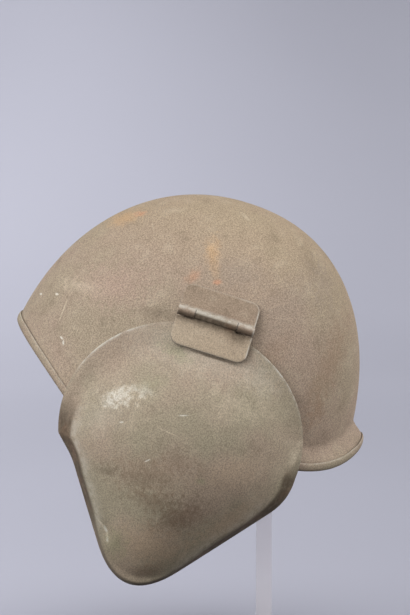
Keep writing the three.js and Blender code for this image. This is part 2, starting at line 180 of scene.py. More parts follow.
# Rubbed paint and a painted highlight along the crease where the border meets the dome, at the front and
# the rear.
FRONT_CREASE_WEAR_AND_SHEEN = 0.42
FRONT_CREASE_FROM = (0, 14)
FRONT_CREASE_ENDS = (-128, -108)
REAR_CREASE_WEAR_AND_SHEEN = 0.36
REAR_CREASE_FROM = (14, 34)
REAR_CREASE_ENDS = (-66, -46)
CREASE_INSET = 1.2
FRONT_CREASE_SPREAD = 5.0
REAR_CREASE_SPREAD = 7.0
CREASE_BORDER_SPREAD = 1.2
TIP_BORDER_DARKENING = 0.6
TIP_BORDER_DARKENING_FROM = (96, 112)
BORDER_DARKENING_OVER = (-1.5, 1.2)

# Hinges
HINGE_Y = 0.9
HINGE_Z = 59.5
HINGE_LENGTH = 56.8
MIDDLE_KNUCKLE = 31.5
KNUCKLE_RADIUS = 3.5
BORE_RADIUS = 2.0
LEAF_SHEET = 1.5
UPPER_LEAF_HEIGHT = 22
LOWER_LEAF_HEIGHT = 25
LEAF_CORNER = 7
LEAF_EDGE_ROUND = 0.4
LEAF_FACE_STEPS = 12
KNUCKLE_GAP = 0.2  # the middle knuckle's ends stand in this far, beside the gap itself
SPLIT_STEP = 0.8  # extra points stand this far to both sides of the gap, for the painted glints there
ARC_STEP = math.radians(9)
EDGE_ROUND_SHARE = 0.3  # how far a rounded edge's middle point stands in, over its radius
LEAF_CORNER_POINTS = 9
LEAF_END_STEP = 0.3  # the rounded ends of a leaf: length, and how far they draw in
LEAF_END_INSET = 0.25
UPPER_ROOT = 4.6  # levels of the upper leaf's bend, on its outer and its back face
UPPER_ROOT_PULL = 3.8
UPPER_BACK = 4.0
UPPER_CREST = 112  # angles in degrees where the rolls begin and end
UPPER_CREST_PULL = (-0.4, -0.16)
UPPER_ROLL_END = -195
UPPER_BORE_END = 135
LOWER_ROOT_GAP = 4 * FIT_GAP
LOWER_CREST = 228
LOWER_CREST_PULL = (1.0, -0.9)
LOWER_ROLL_END = -58
LOWER_BORE_END = 250
LOWER_BORE_PULL = (0.6, -0.4)
LOWER_INNER_PULL = 1.4
LOWER_OUTER_PULL = 1.6
UPPER_BEND_STEPS = 10
LOWER_BEND_STEPS = 6
TOUCH = 1e-6
SHARP_FOLD = 40  # edges that fold by more degrees than this shade as folds

# Rubbed paint, painted highlights and glints, painted shade and shadows, and darker paint on the hinges.
# Pairs are limits over which a change happens, or a first and last share.
BARREL_SHADE_REACH = (0.1, 1.2)  # distances off the barrel
BARREL_TOP_REACH = (1.2, 2.6)
BARREL_TOP = (-1, 2)
BARREL_WEAR_AND_SHEEN = 0.75
BARREL_SHADE = 0.8
BARREL_SHADE_OVER = (-0.6, 2.6)
SPLIT_GLINT_SPREAD = 0.7
END_WEAR_AND_GLINT = (0.2, 1.0)  # rubbed paint and a painted glint on the leaf ends, stronger at the rear
END_WEAR_AND_GLINT_OVER = (0, 20)
END_WEAR_AND_GLINT_SPREAD = 0.8
UPPER_TIP_WEAR_AND_SHEEN = (0.3, 0.75)
UPPER_TIP_WEAR_AND_SHEEN_OVER = (-10, 15)
LOWER_TIP_WEAR = 0.35
TIP_WEAR_AND_SHEEN_SPREAD = 0.5
TIP_SHADE_SPREAD = 0.45
# the middle knuckle's upper half is painted this much darker
MIDDLE_KNUCKLE_DARKENING = 0.6
UNDER_BARREL_SPREAD = 4
BROAD_SHADOW = 1.5  # a broad painted shadow under the rear of the barrel
BROAD_SHADOW_Y = 18
BROAD_SHADOW_WIDE = 8
BROAD_SHADOW_HIGH = 7

# Stand
SADDLE_SHEET = 4
SADDLE_HALF_WIDTH = 28
SADDLE_FRONT = -45
SADDLE_REAR = 50
SADDLE_STEPS = (40, 24)
CROWN_STEP = 0.5


def lerp(start, end, share):
    return start + (end - start) * share


def smoothstep(value, low, high):
    share = np.clip((value - low) / (high - low), 0, 1)
    return share * share * (3 - 2 * share)


def fades(distance, spread):
    """1 at no distance, falling off smoothly over spread."""
    return np.exp(-((distance / spread) ** 2))


def unit(vectors):
    """The vectors brought to length 1."""
    return vectors / np.linalg.norm(vectors, axis=-1, keepdims=True)


def round_angles(count):
    """Evenly spaced angles of a full turn."""
    return np.arange(count) * 2 * math.pi / count


def ripple(angle, wave):
    return wave.height * np.sin(wave.count * angle + wave.phase)


def turned(across, up, angle):
    """Two coordinates, turned together by an angle."""
    turn_cos = math.cos(angle)
    turn_sin = math.sin(angle)
    return across * turn_cos - up * turn_sin, across * turn_sin + up * turn_cos


def in_part_frame(points):
    """Points in the helmet's own frame, in millimetres, as metres in the part's frame."""
    x, y, z = np.asarray(points, float).T
    y, z = turned(y, z, HELMET_TILT)
    return np.column_stack([x, y, z + BRIM_LEVEL]) / PER_METRE


# Mesh making


def make_piece(name, node, points, faces, material, body, attributes=None, mirror=False):
    """Makes a piece of the scene, which rides a body and stands for a CAD node."""
    points = np.array(points, float)
    if mirror:
        points[:, 0] *= -1
        faces = [tuple(reversed(face)) for face in faces]
    mesh = bpy.data.meshes.new(name)
    mesh.from_pydata(in_part_frame(points).tolist(), [], [tuple(int(i) for i in face) for face in faces])
    mesh.validate()
    mesh.polygons.foreach_set("use_smooth", [True] * len(mesh.polygons))
    for key, values in (attributes or {}).items():
        layer = mesh.attributes.new(key, "FLOAT", "POINT")
        layer.data.foreach_set("value", np.asarray(values, dtype=np.float32))
    mesh.materials.append(material)
    piece = bpy.data.objects.new(name, mesh)
    bpy.context.collection.objects.link(piece)
    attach(piece, body)
    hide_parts(node)
    return piece


def make_painted(node, points, faces, material, body, attributes, mirror=False):
    """Makes the painted steel piece of a CAD node."""
    name = f"painted_{node}"
    return make_piece(name, node, points, faces, material, body, attributes, mirror)


def sharpen(piece):
    """Marks the edges of true folds as sharp."""
    piece.data.set_sharp_from_angle(angle=math.radians(SHARP_FOLD))


def grid_normals(rings, pole):
    """Outward normals of rings that lie round a pole, each counter-clockwise seen from outside."""
    around = np.roll(rings, -1, axis=1) - np.roll(rings, 1, axis=1)
    inner = np.concatenate([np.broadcast_to(pole, rings[:1].shape), rings[:-1]])
    outer = np.concatenate([rings[1:], rings[-1:]])
    return unit(np.cross(around, inner - outer))


def dish_faces(rows, columns, start, pole, outward):
    """Faces of a fan round a pole and of the rings beyond it, whose points begin at start."""
    faces = []
    for column in range(columns):
        ahead = (column + 1) % columns
        faces.append((pole, start + column, start + ahead))
        for row in range(rows - 1):
            here = start + row * columns
            faces.append((here + column, here + columns + column, here + columns + ahead, here + ahead))
    return faces if outward else [tuple(reversed(face)) for face in faces]


def dish_wall(pole, pole_normal, rings, normals, thickness, edge_round):
    """A closed wall behind a dished face. Its edge is rounded out by edge_round."""
    rows, columns, _ = rings.shape
    inner = rings - thickness * normals
    outward = unit(rings[-1] - rings[-2])
    edge = (rings[-1] + inner[-1]) / 2 + edge_round * outward
    points = np.concatenate(
        [[pole], rings.reshape(-1, 3), [pole - thickness * pole_normal], inner.reshape(-1, 3), edge]
    )
    inner_pole = 1 + rows * columns
    edge_start = 2 * inner_pole
    faces = dish_faces(rows, columns, 1, 0, True)
    faces += dish_faces(rows, columns, inner_pole + 1, inner_pole, False)
    for column in range(columns):
        ahead = (column + 1) % columns
        outer_here = inner_pole - columns
        inner_here = edge_start - columns
        faces.append((outer_here + column, edge_start + column, edge_start + ahead, outer_here + ahead))
        faces.append((edge_start + column, inner_here + column, inner_here + ahead, edge_start + ahead))
    return points, faces


# Shell surface


def plan_reach(angle):
    along = np.where(np.sin(angle) < 0, FRONT_REACH, REAR_REACH)
    return 1 / np.hypot(np.cos(angle) / SIDE_REACH, np.sin(angle) / along)


def fullness(angle):
    end = np.where(np.sin(angle) < 0, FRONT_FULLNESS, REAR_FULLNESS)
    return lerp(SIDE_FULLNESS, end, np.sin(angle) ** 2)


def brim_height(angle):
    along = np.sin(angle)
    front = np.maximum(FRONT_TIP - FRONT_CUT * (1 + along), SIDE_EDGE)
    rear = lerp(SIDE_EDGE, REAR_TIP, np.clip(along, 0, 1) ** REAR_SWEEP)
    return np.where(along < 0, front, rear)


def edge_height(angle):
    from_side = np.arcsin(np.clip(np.sin(angle), -1, 1))
    away = np.abs(from_side - EAR_CENTRE) / EAR_HALF_SPAN
    return lerp(EAR_TOP, brim_height(angle), smoothstep(away, EAR_FLAT_SHARE, 1))


def shell_reach(angle, z):
    power = fullness(angle)
    rise = np.minimum(np.abs(z - DOME_BASE) / DOME_HEIGHT, 1)
    flare_share = smoothstep(brim_height(angle) + FLARE_RISE - z, 0, FLARE_RISE - FLARE_LIP)
    flare = FLARE_REACH * (1 + np.sin(angle)) / 2 * flare_share
    return plan_reach(angle) * (1 - rise**power) ** (1 / power) + flare


def shell_points(angle, z):
    reach = shell_reach(angle, z)
    return np.stack([reach * np.cos(angle), reach * np.sin(angle), z + 0 * angle], axis=-1)


def row_height(angle, share):
    power = fullness(angle)
    lowest = (edge_height(angle) + BAND_RISE - DOME_BASE) / DOME_HEIGHT
    lowest_angle = np.arcsin(np.sign(lowest) * np.abs(lowest) ** (power / 2))
    curve_angle = lerp(math.pi / 2, lowest_angle, share)
    height = np.sin(curve_angle)
    return DOME_BASE + DOME_HEIGHT * np.sign(height) * np.abs(height) ** (2 / power)


def shell_normals(angle, z):
    around = shell_points(angle + NORMAL_STEP_ANGLE, z) - shell_points(angle - NORMAL_STEP_ANGLE, z)
    upward = shell_points(angle, z + NORMAL_STEP_Z) - shell_points(angle, z - NORMAL_STEP_Z)
    return unit(np.cross(around, upward))


def seam_darkening(angle):
    """How dark the paint is in the seam above the rim band, from place to place round the edge."""
    quick, slow = SEAM_WAVES
    return SEAM_DARKENING + ripple(angle, quick) * ripple(angle, slow)


def build_shell(material):
    angles = round_angles(SHELL_COLUMNS)
    rings = []
    for row in range(1, SHELL_ROWS + 1):
        share = 1 - (1 - row / SHELL_ROWS) ** ROW_CROWDING
        rings.append(shell_points(angles, row_height(angles, share)))
    for row in range(1, EDGE_ROWS + 1):
        rings.append(shell_points(angles, edge_height(angles) + BAND_RISE * (1 - row / EDGE_ROWS)))
    rings = np.array(rings)
    crown = np.array([0, 0, DOME_BASE + DOME_HEIGHT], float)
    normals = grid_normals(rings, crown)
    points, faces = dish_wall(crown, np.array([0, 0, 1.0]), rings, normals, STEEL, SHELL_EDGE_ROUND)
    above_band = rings[:, :, 2] - edge_height(angles) - BAND_RISE
    beside_band = SEAM_DARKENING_ON_SHELL * seam_darkening(angles) * fades(above_band, SEAM_DARKENING_SPREAD)
    dirt_and_shade = np.zeros(len(points))
    dirt_and_shade[1 : 1 + beside_band.size] = beside_band.ravel()
    make_painted("shell", points, faces, material, "helmet", {"dirt_and_shade": dirt_and_shade})


def build_rim_band(material):
    """A strip folded over the edge of the shell, as one closed section drawn round it."""
    angles = round_angles(BAND_COLUMNS)
    near = BAND_GAP
    far = BAND_GAP + BAND_SHEET
    rise = BAND_RISE + sum(ripple(angles, wave) for wave in BAND_WAVES)
    edge = edge_height(angles)
    legs = []
    for step in range(BAND_LEG_STEPS + 1):
        z = edge + rise * (1 - step / BAND_LEG_STEPS)
        legs.append((shell_points(angles, z), shell_normals(angles, z)))
    edge_point, edge_normal = legs[-1]
    down = unit(edge_point - legs[-2][0])
    middle = edge_point - edge_normal * STEEL / 2

    def leg(lip_offset, edge_offset, side, bulge=0.0):
        offsets = np.linspace(lip_offset, edge_offset, BAND_LEG_STEPS + 1)
        offsets += bulge * np.sin(np.linspace(0, math.pi, BAND_LEG_STEPS + 1))
        base = 0 if side > 0 else -STEEL
        return [point + normal * (base + side * offset) for (point, normal), offset in zip(legs, offsets)]

    def fold(offset, steps):
        half = STEEL / 2 + offset
        turns = [math.pi * step / steps for step in range(1, steps)]
        return [middle + edge_normal * half * math.cos(t) + down * offset * math.sin(t) for t in turns]

    lip_near = BAND_LIP_GAP
    lip_far = BAND_LIP_GAP + BAND_LIP_SHEET
    lip_middle = (lip_near + lip_far) / 2
    lip_outer = legs[0][0] + legs[0][1] * lip_middle - down * BAND_LIP
    lip_inner = legs[0][0] - legs[0][1] * (STEEL + lip_middle) - down * BAND_LIP
    section = leg(lip_far, far, 1, BAND_BULGE) + fold(far, BAND_FOLD_STEPS)
    section += leg(lip_far, far, -1, BAND_BULGE)[::-1] + [lip_inner]
    section += leg(lip_near, near, -1) + fold(near, BAND_INNER_FOLD_STEPS)[::-1]
    section += leg(lip_near, near, 1)[::-1] + [lip_outer]
    section = np.array(section)
    size = len(section)
    faces = []
    for column in range(BAND_COLUMNS):
        ahead = (column + 1) % BAND_COLUMNS
        for side in range(size):
            here = side * BAND_COLUMNS
            after = (side + 1) % size * BAND_COLUMNS
            faces.append((here + column, after + column, after + ahead, here + ahead))
    wear_and_highlight = np.zeros((size, BAND_COLUMNS))
    wear_and_highlight[0] = BAND_LIP_WEAR
    dirt_and_shade = np.zeros((size, BAND_COLUMNS))
    dirt_and_shade[-1] = seam_darkening(angles)
    # The band's paint is darker along its outer fold.
    fold_middle = BAND_LEG_STEPS + BAND_FOLD_STEPS / 2
    for row in range(2 * BAND_LEG_STEPS + BAND_FOLD_STEPS + 2):
        dirt_and_shade[row] = BAND_FOLD_DARKENING * fades(row - fold_middle, BAND_FOLD_DARKENING_ROWS)
    attributes = {"wear_and_highlight": wear_and_highlight.ravel(), "dirt_and_shade": dirt_and_shade.ravel()}
    make_painted("rim_band", section.reshape(-1, 3), faces, material, "helmet", attributes)


# Ear plates


def plate_outline():
    """Evenly spaced points round the plate's edge, as y and z."""
    turns = np.linspace(PLATE_REAR_ANGLE, PLATE_FRONT_ANGLE, PLATE_ARC_POINTS)
    path = [
        (PLATE_CENTRE_Y + PLATE_HALF_WIDTH * math.cos(t), PLATE_CENTRE_Z + PLATE_HALF_HEIGHT * math.sin(t))
        for t in turns
    ]
    start = np.array(path[0])
    corners = [np.array([corner.y, corner.z], float) for corner in PLATE_LOWER_CORNERS]
    fillets = [corner.fillet for corner in PLATE_LOWER_CORNERS]
    for corner, following, fillet in zip(corners, corners[1:] + [start], fillets):
        before = corner + unit(np.array(path[-1]) - corner) * fillet
        after = corner + unit(following - corner) * fillet
        for share in np.linspace(0, 1, PLATE_FILLET_POINTS):
            path.append(tuple(lerp(lerp(before, corner, share), lerp(corner, after, share), share)))
    path.append(tuple(start))
    path = np.array(path)
    lengths = np.concatenate([[0], np.cumsum(np.linalg.norm(np.diff(path, axis=0), axis=1))])
    places = np.arange(PLATE_COLUMNS) * lengths[-1] / PLATE_COLUMNS
    return np.column_stack([np.interp(places, lengths, path[:, axis]) for axis in (0, 1)])


def plate_edge_x(y, z):
    wrap = (y - HINGE_Y) ** 2 / (2 * PLATE_WRAP_RADIUS)
    return PLATE_TOP_X - wrap - PLATE_TUCK * np.maximum(PLATE_TUCK_LEVEL - z, 0)


def blurred(values, spread):
    """A profile softened over spread samples: straight on before its start, mirrored past its end."""
    offsets = np.arange(-PROFILE_BLUR_REACH, PROFILE_BLUR_REACH + 1)
    weights = np.exp(-0.5 * (offsets / spread) ** 2)
    before = 2 * values[0] - values[PROFILE_BLUR_REACH:0:-1]
    after = values[-2 : -PROFILE_BLUR_REACH - 2 : -1]
    return np.convolve(np.concatenate([before, values, after]), weights / weights.sum(), mode="valid")


def round_blur(values, spread):
    """Values round a closed ring, softened over spread samples."""
    frequencies = np.fft.rfftfreq(len(values))
    weights = np.exp(-2 * (math.pi * spread * frequencies) ** 2)
    return np.fft.irfft(np.fft.rfft(values) * weights, len(values))


def plate_surface():
    """Rings of the plate's outer face from the apex to the edge, and for each point its distance
    from the edge. Also the outline, and the width of the border along it."""
    outline = plate_outline()
    apex_x, apex_y, apex_z = PLATE_APEX
    apex = np.array([apex_y, apex_z])
    spans = np.linalg.norm(outline - apex, axis=1)
    y, z = outline.T
    free = 1 - np.where(y < 0, smoothstep(z, *FRONT_FREE), smoothstep(z, *REAR_FREE))
    beside = smoothstep(np.abs(y - HINGE_Y), *LAP_SIDES)
    lap_width = lerp(FRONT_LAP, REAR_LAP, smoothstep(y, *LAP_TAPER))
    free_width = lerp(FREE_BORDER["width"], TIP_WIDTH, smoothstep(-z, *TIP_NARROWS))
    free_width = lerp(CORNER_WIDTH, free_width, smoothstep(-z, *CORNER_NARROWS))
    widths = lerp(lap_width, free_width, free)
    rises, softs, blurs = (
        lerp(lerp(LAP_BORDER[key], SIDE_BORDER[key], beside), FREE_BORDER[key], free) for key in SIDE_BORDER
    )
    softs = round_blur(softs, SOFT_BLUR)
    edge_x = plate_edge_x(y, z)
    dome_base = round_blur(edge_x + rises, DOME_BLUR)
    dome_reach = round_blur(spans - widths, DOME_BLUR)
    shares = np.linspace(0, 1, PROFILE_STEPS + 1)
    heights = np.empty((PLATE_COLUMNS, PROFILE_STEPS + 1))
    for column in range(PLATE_COLUMNS):
        border_end = widths[column] / spans[column]
        away = np.clip(spans[column] * (1 - shares) / dome_reach[column], 0, 1)
        dome = lerp(dome_base[column], apex_x, (1 - away**PLATE_DOME_POWER) ** softs[column])
        foot = np.interp(border_end, shares, dome)
        profile = np.where(shares < border_end, lerp(edge_x[column], foot, shares / border_end), dome)
        heights[column] = blurred(profile, blurs[column] / spans[column] * PROFILE_STEPS)
    rings = []
    depths = []
    for row in range(PLATE_ROWS, 0, -1):
        share = ((row - 1) / PLATE_ROWS) ** PLATE_ROW_CROWDING
        x = np.array([np.interp(share, shares, heights[column]) for column in range(PLATE_COLUMNS)])
        rings.append(np.column_stack([x, lerp(outline, apex, share)]))
        depths.append(share * spans)
    pole = np.array([heights[:, -1].mean(), apex_y, apex_z])
    return pole, np.array(rings), np.array(depths), outline, widths


def dent_depth(y, z):
    """How far the dents of the left plate push its face in."""
    depth = np.zeros_like(y)
    for dent in PLATE_DENTS:
        along, across = turned(y - dent.y, z - dent.z, -math.radians(dent.turn))
        depth += dent.depth * fades(along, dent.half_long) * fades(across, dent.half_wide)
    return depth


def build_ear_plate(side, material):
    pole, rings, depths, outline, widths = plate_surface()
    left = side == "left"
    if left:
        rings[:, :, 0] -= dent_depth(rings[:, :, 1], rings[:, :, 2])
    normals = grid_normals(rings, pole)
    points, faces = dish_wall(pole, np.array([1.0, 0, 0]), rings, normals, STEEL, PLATE_EDGE_ROUND)
    y, z = outline.T
    front = y < 0
    rubbed = sum(rub.strength * fades(y - rub.y, rub.half_wide) for rub in EDGE_RUBS)
    rubbed = lerp(EDGE_WEAR, rubbed, smoothstep(z, *EDGE_RUB_FROM))
    if left:
        nick = fades(np.hypot(y - NICK_Y, z - NICK_Z), NICK_SIZE)
        rubbed = np.maximum(rubbed, NICK_WEAR * nick)
    turned_in = 1 - np.where(front, smoothstep(z, *FRONT_TURNED_IN), smoothstep(z, *REAR_TURNED_IN))
    edge_wear = rubbed * fades(depths, EDGE_WEAR_SPREAD)
    # painted highlight, with rubbed paint, along the crease inside the front and rear border
    front_crease = smoothstep(-y, *FRONT_CREASE_FROM) * smoothstep(z, *FRONT_CREASE_ENDS)
    rear_crease = smoothstep(y, *REAR_CREASE_FROM) * (1 - smoothstep(z, *REAR_CREASE_ENDS))
    crease = FRONT_CREASE_WEAR_AND_SHEEN * front_crease + REAR_CREASE_WEAR_AND_SHEEN * rear_crease
    inside = depths - widths - CREASE_INSET
    dome_spread = np.where(front, FRONT_CREASE_SPREAD, REAR_CREASE_SPREAD)
    spread = np.where(inside > 0, dome_spread, CREASE_BORDER_SPREAD)
    crease_wear_and_sheen = turned_in * crease * fades(inside, spread)
    inner_face = np.zeros(depths.size + 1)
    wear_and_highlight = np.concatenate([[0], np.maximum(edge_wear, crease_wear_and_sheen).ravel(), inner_face, rubbed])
    # The border below the turn-in is painted darker, less so near the bottom tip.
    held = np.where(front, lerp(1.0, TIP_BORDER_DARKENING, smoothstep(-z, *TIP_BORDER_DARKENING_FROM)), 1.0)
    dark_start, dark_end = BORDER_DARKENING_OVER
    border = held * turned_in * (1 - smoothstep(depths, widths + dark_start, widths + dark_end))
    dirt_and_shade = np.concatenate([[0], border.ravel(), inner_face, turned_in])
    attributes = {"wear_and_highlight": wear_and_highlight, "dirt_and_shade": dirt_and_shade}
    make_painted(f"ear_plate_{side}", points, faces, material, f"ear_{side}", attributes, not left)


# Hinges. A leaf is a strip of sheet whose end is rolled round the pin.


def on_circle(radius, degrees):
    """A point on a circle round the hinge axis, 0 degrees outward and 90 up."""
    turn = math.radians(degrees)
    return radius * math.cos(turn), radius * math.sin(turn)


def arc(radius, start, end):
    """Points on such a circle from one angle to another."""
    start, end = math.radians(start), math.radians(end)
    steps = max(2, int(abs(end - start) / ARC_STEP))
    return [(radius * math.cos(t), radius * math.sin(t)) for t in np.linspace(start, end, steps + 1)]


def bend(start, start_pull, end_pull, end, steps):
    """A smooth bend between two points, without its ends."""
    points = []
    for share in np.linspace(0, 1, steps + 1)[1:-1]:
        left = 1 - share
        weights = (left**3, 3 * share * left**2, 3 * share**2 * left, share**3)
        points.append(tuple(np.dot(weights, (start, start_pull, end_pull, end))))
    return points


def sheet_end(inner, outer, height):
    """Rounded end of a leaf, from its inner to its outer face."""
    r = LEAF_EDGE_ROUND
    part = EDGE_ROUND_SHARE * r
    rounded = [(inner, height - r), (inner + part, height - part), (inner + r, height)]
    return rounded + [(outer - r, height), (outer - part, height - part), (outer, height - r)]


def moved(point, step):
    return point[0] + step[0], point[1] + step[1]


def face_points(x, start, end):
    """Points along a leaf's flat face, without its ends."""
    return [(x, z) for z in np.linspace(start, end, LEAF_FACE_STEPS + 1)[1:-1]]


def upper_leaf_profile(height):
    """Outline of the upper leaf across the axis, and its points where the roll begins and ends."""
    inner = -KNUCKLE_RADIUS
    outer = inner + LEAF_SHEET
    root = (outer, UPPER_ROOT)
    back = (inner, UPPER_BACK)
    crest = on_circle(KNUCKLE_RADIUS, UPPER_CREST)
    curve = bend(root, (outer, UPPER_ROOT_PULL), moved(crest, UPPER_CREST_PULL), crest, UPPER_BEND_STEPS)
    clear = [p for p in curve if math.hypot(*p) > KNUCKLE_RADIUS + FIT_GAP]
    profile = sheet_end(inner, outer, height) + face_points(outer, height, root[1]) + [root] + clear
    roll_start = len(profile) - 1
    profile += curve[len(clear) :] + arc(KNUCKLE_RADIUS, UPPER_CREST, UPPER_ROLL_END)
    profile += arc(BORE_RADIUS, UPPER_ROLL_END, UPPER_BORE_END)
    roll_end = len(profile)
    profile += [back] + face_points(inner, back[1], height)
    return profile, roll_start, roll_end


def lower_leaf_profile(height):
    """The same for the lower leaf, which hangs down."""
    inner = seat_depth
    outer = inner + LEAF_SHEET
    root = -(KNUCKLE_RADIUS + LOWER_ROOT_GAP)
    end = [(x, -z) for x, z in reversed(sheet_end(inner, outer, height))]
    crest = on_circle(KNUCKLE_RADIUS, LOWER_CREST)
    throat = on_circle(BORE_RADIUS, LOWER_BORE_END)
    inner_pull = (inner, root + LOWER_INNER_PULL)
    outer_pull = (outer, root + LOWER_OUTER_PULL)
    rise = bend((inner, root), inner_pull, moved(crest, LOWER_CREST_PULL), crest, LOWER_BEND_STEPS)
    fall = bend(throat, moved(throat, LOWER_BORE_PULL), outer_pull, (outer, root), LOWER_BEND_STEPS)
    profile = end + face_points(inner, -height, root) + [(inner, root)]
    roll_start = len(profile) - 1
    profile += rise + arc(KNUCKLE_RADIUS, LOWER_CREST, LOWER_ROLL_END)
    profile += arc(BORE_RADIUS, LOWER_ROLL_END, LOWER_BORE_END) + fall
    roll_end = len(profile)
    profile += [(outer, root)] + face_points(outer, root, -height)
    return profile, roll_start, roll_end


def inset_profile(profile, amount):
    """The outline drawn in by amount, for the rounded end of a sheet."""
    points = np.array(profile)
    along = np.roll(points, -1, axis=0) - np.roll(points, 1, axis=0)
    along = unit(along)
    following = np.roll(points, -1, axis=0)
    area = np.sum(points[:, 0] * following[:, 1] - following[:, 0] * points[:, 1])
    inward = np.column_stack([-along[:, 1], along[:, 0]]) * math.copysign(1, area)
    return points + amount * inward


def corner_height(y, height):
    """Height of a leaf's rounded end over a place along the axis."""
    past = abs(y) - (HINGE_LENGTH / 2 - LEAF_CORNER)
    if past <= 0:
        return height
    return height - LEAF_CORNER + math.sqrt(max(LEAF_CORNER**2 - past**2, 0))


def knuckle_split(rolled_middle):
    """Where a leaf's roll ends, beside the gap between the knuckles."""
    return MIDDLE_KNUCKLE / 2 + (-KNUCKLE_GAP if rolled_middle else FIT_GAP)


def leaf_mesh(profile_at, height, rolled_middle):
    """Lofts a leaf along the axis. Its roll covers either the middle knuckle or the two end knuckles."""
    half = HINGE_LENGTH / 2
    split = knuckle_split(rolled_middle)
    turns = np.linspace(0, math.pi / 2, LEAF_CORNER_POINTS)
    corner = [half - LEAF_CORNER + (LEAF_CORNER - LEAF_END_STEP) * math.sin(t) for t in turns]
    beside = [split / 3, split * 2 / 3, split - SPLIT_STEP, split, split + SPLIT_STEP]
    right = sorted([*beside, *corner])
    stations = [-half, *(-y for y in reversed(right)), *right, half]
    ends = (0, len(stations) - 1)
    points, index, faces = [], {}, []
    for number, y in enumerate(stations):
        # The outlines of all stations have the same number of points, and roll at the same ones.
        profile, start, end = profile_at(corner_height(y, height))
        if number in ends:
            profile = inset_profile(profile, LEAF_END_INSET)
        has_roll = (abs(y) <= split + TOUCH) if rolled_middle else (abs(y) >= split - TOUCH)
        for place, (x, z) in enumerate(profile):
            if has_roll or place <= start or place >= end:
                index[number, place] = len(points)
                points.append((x, y, z))
    count = len(profile)
    loops = {True: list(range(count)), False: [*range(start + 1), *range(end, count)]}
    rolled = [(abs(a + b) / 2 < split) == rolled_middle for a, b in zip(stations, stations[1:])]
    for number, has_roll in enumerate(rolled):
        loop = loops[has_roll]
        ahead = number + 1
        for first, second in zip(loop, loop[1:] + loop[:1]):
            quad = ((number, first), (number, second), (ahead, second), (ahead, first))
            faces.append(tuple(index[corner] for corner in quad))
    for number in range(1, len(stations) - 1):
        if rolled[number] != rolled[number - 1]:
            cap = [index[number, place] for place in range(start, end + 1)]
            faces.append(tuple(cap if rolled[number - 1] else reversed(cap)))
    for number in ends:
        cap = [index[number, place] for place in loops[rolled[0]]]
        faces.append(tuple(cap if number else reversed(cap)))
    return np.array(points), faces


def hinge_numbers():
    """Slope and reach of the axis over the shell, and the seat of the lower leaf on the plate."""
    slope = math.atan2(float(shell_reach(0.0, HINGE_Z) - shell_reach(0.0, HINGE_Z + 1)), 1)
    stand_off = FIT_GAP + KNUCKLE_RADIUS
    reach = float(shell_reach(0.0, HINGE_Z - stand_off * math.sin(slope))) + stand_off * math.cos(slope)
    top_z = PLATE_CENTRE_Z + PLATE_HALF_HEIGHT
    _, apex_y, apex_z = PLATE_APEX
    span = math.hypot(HINGE_Y - apex_y, top_z - apex_z)
    border_drop = LAP_BORDER["width"] / span * (top_z - apex_z)
    seat = math.atan2(LAP_BORDER["rise"], border_drop)
    edge_x = float(plate_edge_x(HINGE_Y, top_z))
    depth = (edge_x - reach) * math.cos(seat) + (top_z - HINGE_Z) * math.sin(seat) + CURVED_FIT_GAP
    return slope, reach, seat, depth


hinge_slope, hinge_reach, seat_slope, seat_depth = hinge_numbers()


def placed(points, slope):
    """Points round the hinge axis, leaned by slope and set on the helmet."""
    x, y, z = points.T
    x, z = turned(x, z, slope)
    return np.column_stack([x + hinge_reach, y + HINGE_Y, z + HINGE_Z])


